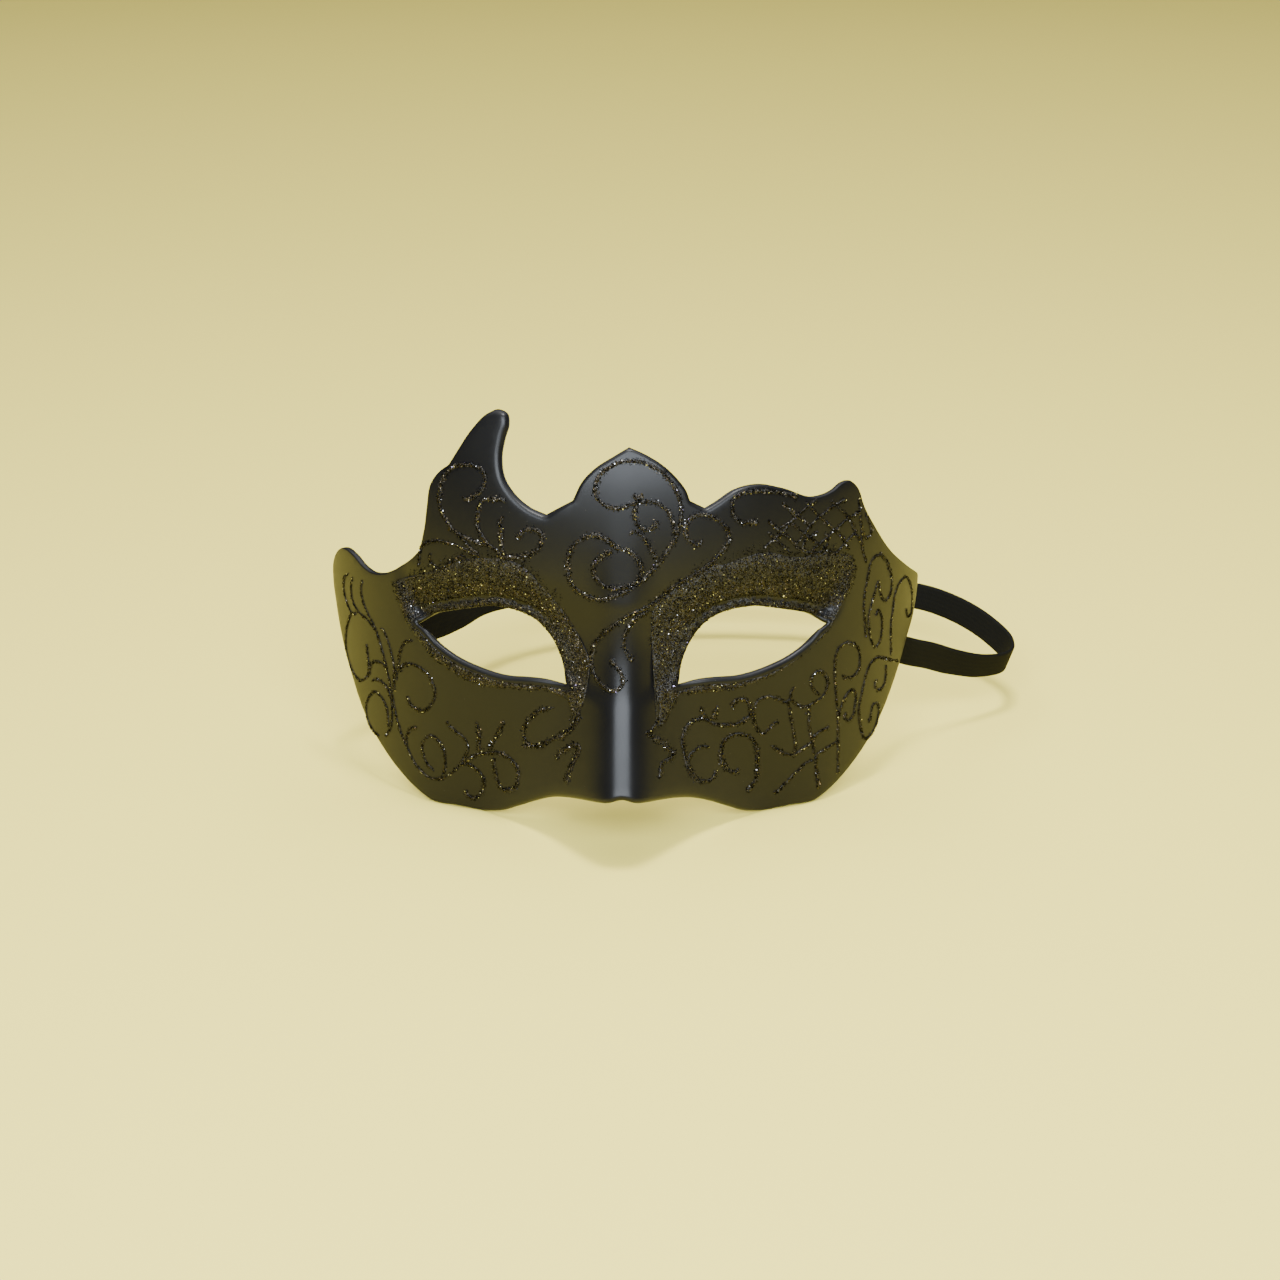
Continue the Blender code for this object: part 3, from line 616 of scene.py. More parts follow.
def curve_spans(knots, corners, closed, steps):
    """Dense points through knots, one array for each knot's span."""
    count = len(knots)
    tangents = []
    for index in range(count):
        ahead = knots[(index + 1) % count] - knots[index]
        behind = knots[index] - knots[index - 1]
        if not closed and index == 0:
            behind = ahead
        if not closed and index == count - 1:
            ahead = behind
        near, far = np.linalg.norm(behind), np.linalg.norm(ahead)
        tangent = (ahead / far * near + behind / near * far) / (near + far)
        tangents.append((tangent, ahead / far, behind / near))
    spans = []
    share = (np.arange(steps) / steps)[:, None]
    for index in range(count if closed else count - 1):
        after = (index + 1) % count
        start, end = knots[index], knots[after]
        chord = np.linalg.norm(end - start)
        leave = tangents[index][1] if corners[index] else tangents[index][0]
        arrive = tangents[after][2] if corners[after] else tangents[after][0]
        span = start * (2.0 * share ** 3 - 3.0 * share ** 2 + 1.0)
        span = span + leave * chord * (share ** 3 - 2.0 * share ** 2 + share)
        span = span + end * (3.0 * share ** 2 - 2.0 * share ** 3)
        spans.append(span + arrive * chord * (share ** 3 - share ** 2))
    return spans


def even_points(dense, step):
    """Points at an even step along a dense line, without its last one."""
    lengths = np.concatenate(([0.0], np.cumsum(np.linalg.norm(np.diff(dense, axis=0), axis=1))))
    count = max(1, round(lengths[-1] / step))
    places = lengths[-1] * np.arange(count) / count
    return np.stack([np.interp(places, lengths, column) for column in dense.T], axis=1)


def loop_points(table, step, side=1.0):
    """Laid-out loop of a table of shares, stepped evenly from corner to corner."""
    knots = [flatten(side * across * HALF_WIDTH, up * HEIGHT) for across, up, kind in table]
    return even_loop(knots, [kind for across, up, kind in table], step)


def even_loop(knots, corners, step):
    """Laid-out loop through knots, stepped evenly from corner to corner."""
    first = corners.index(CORNER) if CORNER in corners else 0
    knots = knots[first:] + knots[:first]
    corners = corners[first:] + corners[:first]
    sections = []
    for span, corner in zip(curve_spans(knots, corners, True, 12), corners):
        if corner or not sections:
            sections.append([])
        sections[-1].append(span)
    sections = [np.concatenate(section) for section in sections]
    points = []
    for index, section in enumerate(sections):
        closing = sections[(index + 1) % len(sections)][:1]
        points.append(even_points(np.concatenate((section, closing)), step))
    return np.concatenate(points)


def contains(loop, points):
    """Which laid-out points a loop goes round."""
    inside = np.zeros(len(points), bool)
    for first, second in zip(loop, np.roll(loop, -1, axis=0)):
        level = (first[1] > points[:, 1]) != (second[1] > points[:, 1])
        run = (points[:, 1] - first[1]) / (second[1] - first[1] if second[1] != first[1] else 1.0)
        inside ^= level & (points[:, 0] < first[0] + run * (second[0] - first[0]))
    return inside


def loop_distance(loop, points):
    """Shortest distance from each laid-out point to a loop."""
    start = loop
    way = np.roll(loop, -1, axis=0) - loop
    length = np.maximum((way ** 2).sum(axis=1), 1e-18)
    found = []
    for part in np.array_split(points, len(points) // 1500 + 1):
        offset = part[:, None, :] - start[None]
        share = np.clip((offset * way[None]).sum(axis=2) / length, 0.0, 1.0)
        found.append(np.sqrt(((offset - share[:, :, None] * way[None]) ** 2).sum(axis=2).min(axis=1)))
    return np.concatenate(found)


def staggered_grid(low, high, step):
    """Staggered points over a laid-out rectangle."""
    rows = []
    height = step * math.sqrt(0.75)
    for number in range(int((high[1] - low[1]) / height) + 2):
        across = np.arange(low[0] + (0.5 * step if number % 2 else 0.0), high[0] + step, step)
        rows.append(np.stack((across, np.full(len(across), low[1] + number * height)), axis=1))
    return np.concatenate(rows)


def sheet_faces(points, loops, keep):
    """Triangles between laid-out points, with each loop's edges held, where keep says so."""
    edges = []
    start = 0
    for loop in loops:
        edges.extend((start + i, start + (i + 1) % len(loop)) for i in range(len(loop)))
        start += len(loop)
    flat, _, faces, _, _, _ = delaunay_2d_cdt([Vector(p) for p in points], edges, [], 0, 1e-7)
    flat = np.array([tuple(p) for p in flat])
    faces = np.array(faces)
    faces = faces[keep(flat[faces].mean(axis=1))]
    used = np.unique(faces)
    order = np.full(len(flat), -1)
    order[used] = np.arange(len(used))
    return flat[used], order[faces]


def close_sheet(name, front, back, faces):
    """Closed object of a front skin, a back skin and the strips between their edges."""
    count = len(front)
    directed = set()
    for a, b, c in faces.tolist():
        directed.update(((a, b), (b, c), (c, a)))
    rim = [(b, a, a + count, b + count) for a, b in directed if (b, a) not in directed]
    mesh = bpy.data.meshes.new(name)
    skins = faces.tolist() + (faces[:, ::-1] + count).tolist()
    mesh.from_pydata(np.concatenate((front, back)).tolist(), [], skins + sorted(rim))
    return finish_object(name, mesh)


def finish_object(name, mesh):
    """Smooth shaded object that rides on the mask's only body."""
    mesh.polygons.foreach_set("use_smooth", np.ones(len(mesh.polygons), bool))
    mesh.update()
    item = bpy.data.objects.new(name, mesh)
    bpy.context.scene.collection.objects.link(item)
    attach(item, "root")
    return item


def round_over(distance, radius):
    """How far a surface has dropped at a distance from an edge rounded with a radius."""
    short = np.clip(radius - distance, 0.0, radius)
    return radius - np.sqrt(radius ** 2 - short ** 2)


def rim_size(flat, form):
    """Rounding of the outer edge at laid-out points: broad in the notch, fine at the temples."""
    across, up = unfold(flat)
    across, up = across / HALF_WIDTH, up / HEIGHT
    fine = 0.55 * smooth_step(0.55, 0.80, np.abs(across)) * form.rim_radius
    notch = smooth_step(-0.44, -0.39, across) * (1.0 - smooth_step(-0.25, -0.16, across))
    notch = np.maximum(notch, smooth_step(0.19, 0.24, across) * (1.0 - smooth_step(0.32, 0.42, across)) * 0.7)
    notch = notch * smooth_step(0.74, 0.78, up)
    return form.rim_radius - fine + (form.notch_radius - form.rim_radius) * notch


def lid_size(flat, form):
    """Rounding of the eye openings' edges: a rolled lower lid under a thin upper one."""
    above = beside_eye(*unfold(flat))[1]
    return form.lid_radius * (1.0 - 0.62 * smooth_step(-0.0015, 0.0015, above))


def lid_crease(flat, eye, form):
    """Depth of the fold that follows each upper lid above the opening."""
    away = loop_distance(eye, flat) - FOLD_AWAY
    along, above = beside_eye(*unfold(flat))
    held = smooth_step(0.10, 0.35, along) * (1.0 - smooth_step(0.86, 1.02, along))
    held = held * smooth_step(0.0, 0.003, above)
    return form.crease_depth * held * np.exp(-(away / FOLD_WIDTH) ** 2)


def lid_drop(flat, eye, form):
    """How far the front lies below the face beside an eye opening, by its rim and its fold."""
    return lid_crease(flat, eye, form) + round_over(loop_distance(eye, flat), lid_size(flat, form))


def shell_points(form):
    """Laid-out points of the shell: rims, rings beside them, socket creases and a grid."""
    loops = [loop_points(OUTLINE, 0.0008), loop_points(EYE, 0.0006, -1.0), loop_points(EYE, 0.0006)]
    placed = [np.concatenate(loops)]
    for loop, size, side in zip(loops, (rim_size, lid_size, lid_size), (1, -1, -1)):
        radius = size(loop, form)[:, None]
        way = np.roll(loop, -1, axis=0) - np.roll(loop, 1, axis=0)
        normal = np.stack((-way[:, 1], way[:, 0]), axis=1) / np.linalg.norm(way, axis=1)[:, None]
        turn = ((np.roll(loop, -1, axis=0) - loop)[:, 0] * (np.roll(loop, -1, axis=0) + loop)[:, 1]).sum()
        normal *= side * (-1.0 if turn > 0.0 else 1.0)
        for angle in (67.5, 45.0, 22.5, 0.0):
            gap = radius * (1.0 - math.cos(math.radians(90.0 - angle)))
            ring = loop + normal * gap
            placed.append(ring[loop_distance(loop, ring) > 0.97 * gap[:, 0]])
    start, axis, rise = eye_axis()
    low, high = SOCKET_CREASE
    rows = []
    for above in np.arange(SOCKET_START[1], SOCKET_FADE[1], 0.035):
        for along in np.linspace(low - 0.01, high + 0.01, 7):
            point = start + axis * (along + CREASE_LEAN * above) + rise * above * SOCKET_RISE
            rows.append(flatten(point[0], point[1]))
            rows.append(flatten(-point[0], point[1]))
    placed.append(np.array(rows))
    reach = flatten(HALF_WIDTH * 1.02, 0.0)[0]
    placed.append(staggered_grid((-reach, 0.0), (reach, HEIGHT), form.step))
    gaps = [0.0] + [0.00008] * 12 + [0.00045, 0.72 * form.step]
    points = placed[0]
    for group, gap in zip(placed[1:], gaps[1:]):
        inside = contains(loops[0], group) & ~contains(loops[1], group) & ~contains(loops[2], group)
        group = group[inside]
        tree = KDTree(len(points))
        for index, point in enumerate(points):
            tree.insert((*point, 0.0), index)
        tree.balance()
        clear = [tree.find((*point, 0.0))[2] >= gap for point in group]
        points = np.concatenate((points, group[np.array(clear, bool)]))
    return points, loops


class Wire:
    """A shader socket that takes part in Python arithmetic."""

    def __init__(self, finish, socket):
        self.finish = finish
        self.socket = socket

    def math(self, operation, first, second):
        return self.finish.node("ShaderNodeMath", {"operation": operation}, {0: first, 1: second})

    def __add__(self, other):
        return self.math("ADD", self, other)

    def __radd__(self, other):
        return self.math("ADD", other, self)

    def __sub__(self, other):
        return self.math("SUBTRACT", self, other)

    def __rsub__(self, other):
        return self.math("SUBTRACT", other, self)

    def __mul__(self, other):
        return self.math("MULTIPLY", self, other)

    def __rmul__(self, other):
        return self.math("MULTIPLY", other, self)

    def __gt__(self, other):
        return self.math("GREATER_THAN", self, other)

    def __lt__(self, other):
        return self.math("LESS_THAN", self, other)

    def __pow__(self, other):
        return self.math("POWER", self, other)

    def __rpow__(self, other):
        return self.math("POWER", other, self)


class Finish:
    """One material, built as nodes before its Principled shader."""

    def __init__(self, name, colour, roughness):
        self.material = bpy.data.materials.new(name)
        self.material.use_nodes = True
        self.material.diffuse_color = (*colour, 1.0)
        self.tree = self.material.node_tree
        self.shader = self.tree.nodes["Principled BSDF"]
        self.set("Base Color", (*colour, 1.0))
        self.set("Roughness", roughness)

    def set(self, name, value):
        """Give a socket of the shader a value or a wire."""
        if isinstance(value, Wire):
            self.tree.links.new(value.socket, self.shader.inputs[name])
        else:
            self.shader.inputs[name].default_value = value

    def node(self, kind, settings, sockets, output=0):
        """Add a node, its settings first and then the values or wires of its sockets."""
        node = self.tree.nodes.new(kind)
        for name, value in settings.items():
            if name == "stops":
                elements = node.color_ramp.elements
                for index, (place, colour) in enumerate(value):
                    element = elements[index] if index < 2 else elements.new(place)
                    element.position = place
                    element.color = (*colour, 1.0)
            else:
                setattr(node, name, value)
        for name, value in sockets.items():
            if isinstance(value, Wire):
                self.tree.links.new(value.socket, node.inputs[name])
            else:
                node.inputs[name].default_value = value
        return Wire(self, node.outputs[output])

    def place(self):
        """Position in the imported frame, which every piece shares."""
        return self.node("ShaderNodeTexCoord", {}, {}, "Object")

    def noise(self, pitch, detail=2.0, roughness=0.5):
        """Cloudy value from 0 to 1 with a pitch in metres."""
        sockets = {"Vector": self.place(), "Scale": 1.0 / pitch, "Detail": detail, "Roughness": roughness}
        return self.node("ShaderNodeTexNoise", {}, sockets)

    def cells(self, pitch, output="Color"):
        """Cells about a pitch wide, in metres: their colour or the distance from their middles."""
        sockets = {"Vector": self.place(), "Scale": 1.0 / pitch}
        return self.node("ShaderNodeTexVoronoi", {"feature": "F1"}, sockets, output)

    def red(self, colour):
        """First channel of a colour, as a value."""
        return self.node("ShaderNodeSeparateColor", {}, {0: colour})

    def between(self, share, low, high):
        """Colour between two others."""
        sockets = {"Factor": share, 6: low, 7: high}
        return self.node("ShaderNodeMix", {"data_type": "RGBA"}, sockets, 2)

    def ramp(self, share, stops, interpolation="LINEAR"):
        """Colour from a row of stops."""
        node = self.node("ShaderNodeValToRGB", {"stops": stops}, {0: share})
        node.socket.node.color_ramp.interpolation = interpolation
        return node

    def bump(self, height, distance, strength=1.0, normal=None):
        """Normal of a surface that stands out by height times distance."""
        sockets = {"Strength": strength, "Distance": distance, "Height": height}
        if normal is not None:
            sockets["Normal"] = normal
        return self.node("ShaderNodeBump", {}, sockets)


def plastic_finish(form):
    """Satin black plastic with a faint grain, soft waviness and a few specks of dust."""
    finish = Finish("satin_plastic", form.colour, form.roughness)
    cloud = finish.noise(0.018, 3.0)
    grain = finish.noise(0.00035, 2.0)
    wave = finish.noise(0.011, 1.0)
    dust = (finish.cells(0.0021, "Distance") < 0.035) * (finish.noise(0.013) > 0.52)
    dark = finish.between(cloud, (*form.colour, 1.0), tuple(1.35 * c for c in form.colour) + (1.0,))
    finish.set("Base Color", finish.between(dust * 0.5, dark, (0.16, 0.15, 0.13, 1.0)))
    finish.set("Roughness", form.roughness + (cloud - 0.5) * 0.10 + (grain - 0.5) * 0.06)
    coarse = finish.bump(wave, 0.00012, 0.6)
    finish.set("Normal", finish.bump(grain, 0.000012, 0.6, coarse))
    finish.set("IOR", 1.31)
    return finish.material


def glue_finish(form):
    """Black glue packed with fine glitter: each small cell has its own tilt, tone and gloss, and is darkened
    by the layer's attribute, a painted shade in the lid folds.
    """
    finish = Finish("glitter_glue", form.colour, 0.4)
    cell = finish.cells(0.00021)
    fold_shade_and_darkening = finish.node("ShaderNodeAttribute", {"attribute_name": "fold_shade_and_darkening"}, {}, "Fac")
    # The attribute darkens the cells: painted shade in the lid folds, and darker away from the eye; lines
    # without it keep their tone.
    pick = finish.red(cell) ** (1.0 + fold_shade_and_darkening)
    tone = finish.ramp(pick, (
        (0.0, tuple(form.colour)), (0.60, (0.016, 0.012, 0.007)), (0.82, (0.040, 0.030, 0.016)),
        (0.95, (0.095, 0.078, 0.052)), (0.990, (0.300, 0.280, 0.260))), "CONSTANT")
    finish.set("Base Color", tone)
    finish.set("Metallic", (pick > 0.60) * 0.85)
    finish.set("Roughness", 0.55 - (pick > 0.60) * 0.18)
    tilt = finish.node("ShaderNodeVectorMath", {"operation": "SUBTRACT"}, {0: cell, 1: (0.5, 0.5, 0.5)})
    tilt = finish.node("ShaderNodeVectorMath", {"operation": "SCALE"}, {0: tilt, "Scale": 1.1})
    normal = finish.node("ShaderNodeNewGeometry", {}, {}, "Normal")
    normal = finish.node("ShaderNodeVectorMath", {"operation": "ADD"}, {0: normal, 1: tilt})
    normal = finish.node("ShaderNodeVectorMath", {"operation": "NORMALIZE"}, {0: normal})
    finish.set("Normal", normal)
    return finish.material


def chip_finish():
    """Glitter chips, mostly gunmetal with some bronze, silver and a little violet."""
    finish = Finish("glitter_chips", (0.10, 0.08, 0.06), 0.24)
    pick = finish.node("ShaderNodeAttribute", {"attribute_name": "tint"}, {}, "Fac")
    tone = finish.ramp(pick, (
        (0.0, (0.006, 0.006, 0.006)), (0.64, (0.024, 0.020, 0.014)), (0.84, (0.056, 0.045, 0.030)),
        (0.945, (0.160, 0.145, 0.125)), (0.976, (0.740, 0.740, 0.760)), (0.994, (0.420, 0.330, 0.600))),
        "CONSTANT")
    finish.set("Base Color", tone)
    finish.set("Metallic", 1.0)
    finish.set("Roughness", 0.24 + 0.10 * pick)
    return finish.material


def elastic_finish(form):
    """Covered elastic: dark yarn with its own fuzz, painted lighter on the rib crowns and raised cords and
    darker between them, a painted highlight and shade.
    """
    finish = Finish("covered_elastic", form.colour, 0.82)
    crown = finish.node("ShaderNodeAttribute", {"attribute_name": "crown"}, {}, "Fac")
    fuzz = finish.noise(0.00022, 3.0, 0.7)
    low = tuple(0.45 * c for c in form.colour) + (1.0,)
    high = tuple(2.3 * c for c in form.colour) + (1.0,)
    # Painted highlight on rib crowns and raised cords, painted shade in the valleys between them.
    finish.set("Base Color", finish.between(crown * (0.55 + 0.9 * fuzz), low, high))
    finish.set("Roughness", 0.70 + 0.22 * fuzz)
    finish.set("Normal", finish.bump(fuzz, 0.00005, 0.8))
    finish.set("IOR", 1.22)
    return finish.material


def pad_finish():
    """Plain dark moulded pads."""
    finish = Finish("pad_plastic_dark", (0.030, 0.030, 0.032), 0.6)
    grain = finish.noise(0.0004)
    finish.set("Roughness", 0.52 + 0.16 * grain)
    finish.set("Normal", finish.bump(grain, 0.00002, 0.7))
    return finish.material


def paper_finish(form):
    """Matt pale paper with a faint fibre."""
    finish = Finish("pale_paper", form.paper, 0.9)
    fibre = finish.noise(0.0011, 4.0, 0.6)
    cloud = finish.noise(0.16, 2.0)
    low = tuple(0.965 * c for c in form.paper) + (1.0,)
    finish.set("Base Color", finish.between(0.6 * fibre + 0.4 * cloud, low, (*form.paper, 1.0)))
    finish.set("Normal", finish.bump(fibre, 0.00006, 0.35))
    finish.set("Specular IOR Level", 0.2)
    return finish.material


def scatter_chips(name, spots, normals, sizes, darkening_and_fold_shade, generator):
    """Closed four-sided chips with flat tilted tops, darker where the darkening power is above 1: painted
    shade in the lid folds, and darker away from the eye.
    """
    count = len(spots)
    tilt = generator.normal(0.0, 0.42, (count, 3))
    up = normals + tilt
    up /= np.linalg.norm(up, axis=1)[:, None]
    turn = generator.normal(0.0, 1.0, (count, 3))
    first = np.cross(up, turn)
    first /= np.linalg.norm(first, axis=1)[:, None]
    second = np.cross(up, first)
    stretch = generator.uniform(0.75, 1.25, (count, 2)) * 0.5
    first *= (sizes * stretch[:, 0])[:, None]
    second *= (sizes * stretch[:, 1])[:, None]
    lift = (0.40 * sizes)[:, None]
    top = spots + normals * lift
    corners = [top - first - second, top + first - second, top + first + second, top - first + second]
    corners.append(spots - normals * (1.1 * sizes)[:, None])
    verts = np.stack(corners, axis=1).reshape(-1, 3)
    pattern = np.array((0, 1, 2, 3, 1, 0, 4, 2, 1, 4, 3, 2, 4, 0, 3, 4))
    loops = (np.arange(count)[:, None] * 5 + pattern[None]).ravel()
    totals = np.tile((4, 3, 3, 3, 3), count)
    mesh = bpy.data.meshes.new(name)
    mesh.vertices.add(len(verts))
    mesh.vertices.foreach_set("co", verts.ravel())
    mesh.loops.add(len(loops))
    mesh.loops.foreach_set("vertex_index", loops)
    mesh.polygons.add(len(totals))
    mesh.polygons.foreach_set("loop_start", np.concatenate(([0], np.cumsum(totals)[:-1])))
    mesh.polygons.foreach_set("loop_total", totals)
    tint = mesh.attributes.new("tint", "FLOAT", "POINT")
    tint.data.foreach_set("value", np.repeat(generator.uniform(0.0, 1.0, count) ** darkening_and_fold_shade, 5))
    mesh.update(calc_edges=True)
    item = finish_object(name, mesh)
    mesh.polygons.foreach_set("use_smooth", np.zeros(len(mesh.polygons), bool))
    item.data.materials.append(chip_finish())


class MASK_OT_shell(Operator):
    """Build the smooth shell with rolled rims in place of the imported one"""

    bl_idname = "half_mask.shell"
    bl_label = "Mask shell"

    def execute(self, context):
        form = context.scene.mask_form
        points, loops = shell_points(form)

        def in_wall(middles):
            return contains(loops[0], middles) & ~contains(loops[1], middles) & ~contains(loops[2], middles)

        flat, faces = sheet_faces(points, loops, in_wall)
        to_rim = loop_distance(loops[0], flat)
        to_left, to_right = loop_distance(loops[1], flat), loop_distance(loops[2], flat)
        to_lid = np.minimum(to_left, to_right)
        surface, inward = bend(flat)
        back, through = bend(flat, INNER_REACH)
        drop = np.maximum(round_over(to_rim, rim_size(flat, form)), round_over(to_lid, lid_size(flat, form)))
        drop = drop + lid_crease(flat, loops[1], form) + lid_crease(flat, loops[2], form)
        rise = round_over(np.minimum(to_rim, to_lid), form.back_radius)
        front = surface + inward * drop[:, None]
        back = back + through * (form.wall - rise)[:, None]
        shell = close_sheet("mask_shell_smooth", front, back, faces)
        shell.data.materials.append(plastic_finish(form))
        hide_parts("mask_shell")
        return {"FINISHED"}


class MASK_OT_socket_glitter(Operator):
    """Lay the glitter round both eyes, from the brow down beside the nose"""

    bl_idname = "half_mask.socket_glitter"
    bl_label = "Socket glitter"

    def execute(self, context):
        form = context.scene.glitter_form
        mask = context.scene.mask_form
        generator = np.random.default_rng(form.seed)
        glue = glue_finish(form)
        for side, sign in (("left", -1.0), ("right", 1.0)):
            border = even_loop(list(face_points(SOCKETS[side])), [ROUND] * len(SOCKETS[side]), 0.0009)
            border = border + generator.normal(0.0, 0.00022, border.shape)
            eye = loop_points(EYE, 0.0007, sign)
            low, high = border.min(axis=0), border.max(axis=0)
            grid = staggered_grid(low, high, 0.0008)
            grid = grid + generator.uniform(-0.00016, 0.00016, grid.shape)
            lid = self.lid_gap(grid)
            held = contains(border, grid) & ~contains(eye, grid)
            held &= (loop_distance(eye, grid) > lid) & (loop_distance(border, grid) > 0.0003)
            grid = grid[held]

            def in_layer(middles):
                clear = loop_distance(eye, middles) > self.lid_gap(middles) * 0.9
                return contains(border, middles) & ~contains(eye, middles) & clear

            flat, faces = sheet_faces(grid, [], in_layer)
            surface, inward = bend(flat)
            drop = lid_drop(flat, eye, mask)
            edge = smooth_step(0.0, 0.0014, loop_distance(border, flat))
            edge = edge * smooth_step(0.0, 0.0009, loop_distance(eye, flat) - self.lid_gap(flat))
            height = form.layer_height * edge * generator.uniform(0.45, 1.25, len(flat)) + 0.00002
            front = surface + inward * (drop - height)[:, None]
            back = surface + inward * (drop + 0.0004)[:, None]
            layer = close_sheet(f"socket_glitter_{side}", front, back, faces)
            layer.data.materials.append(glue)
            # Darkening for the glue: painted shade in the lid folds, and darker away from the eye.
            fold_shade_and_darkening = layer.data.attributes.new("fold_shade_and_darkening", "FLOAT", "POINT")
            fold_shade_and_darkening.data.foreach_set("value", np.resize(self.darkening_and_fold_shade(eye, flat), len(layer.data.vertices)))
            self.add_chips(side, border, eye, low, high, form, mask, generator)
        return {"FINISHED"}

    def lid_gap(self, flat):
        """Bare width between an eye opening and its glitter: narrow above, a clean rim below."""
        above = beside_eye(*unfold(flat))[1]
        return 0.0002 + 0.0014 * (1.0 - smooth_step(-0.0005, 0.0020, above))

    def darkening_and_fold_shade(self, eye, flat):
        """How much darker the glitter is made: painted shade in the fold of each lid, and darker more than
        about a centimetre from the eye, towards the brow.
        """
        distance = loop_distance(eye, flat)
        # Painted shade: the glitter is darkened along the fold above each lid, where shade falls.
        fold = np.exp(-((distance - FOLD_AWAY) / 0.0011) ** 2)
        fold = fold * smooth_step(0.36 * HEIGHT, 0.44 * HEIGHT, flat[:, 1])
        return 1.3 * smooth_step(0.0070, 0.0110, distance) + 3.0 * fold

    def add_chips(self, side, border, eye, low, high, form, mask, generator):
        """Scatter chips over one layer, thinner towards its border, with loose ones above the brow."""
        low, high = low - LOOSE_REACH, high + LOOSE_REACH
        area = (high[0] - low[0]) * (high[1] - low[1])
        flat = generator.uniform(low, high, (int(area * 1e4 * form.layer_chips), 2))
        flat = flat[~contains(eye, flat) & (loop_distance(eye, flat) > self.lid_gap(flat))]
        inside, away = contains(border, flat), loop_distance(border, flat)
        brow = (flat[:, 1] > 0.58 * HEIGHT) & (flat[:, 1] < 0.73 * HEIGHT) & (np.abs(flat[:, 0]) < 0.066)
        share = np.where(inside, 0.25 + 0.75 * smooth_step(-0.0008, 0.0032, away), 0.0)
        share = np.where(brow & ~inside, 0.30 * (1.0 - smooth_step(0.0, 0.0028, away)), share)
        flat = flat[generator.uniform(0.0, 1.0, len(flat)) < share]
        surface, inward = bend(flat)
        drop = lid_drop(flat, eye, mask)
        spots = surface + inward * (drop - 0.7 * form.layer_height)[:, None]
        sizes = form.chip_size * generator.lognormal(0.0, 0.22, len(spots))
        # The socket chips take the same painted shade in the lid folds and the same darkening away from the
        # eye.
        scatter_chips(f"socket_chips_{side}", spots, -inward, sizes, 1.0 + self.darkening_and_fold_shade(eye, flat), generator)


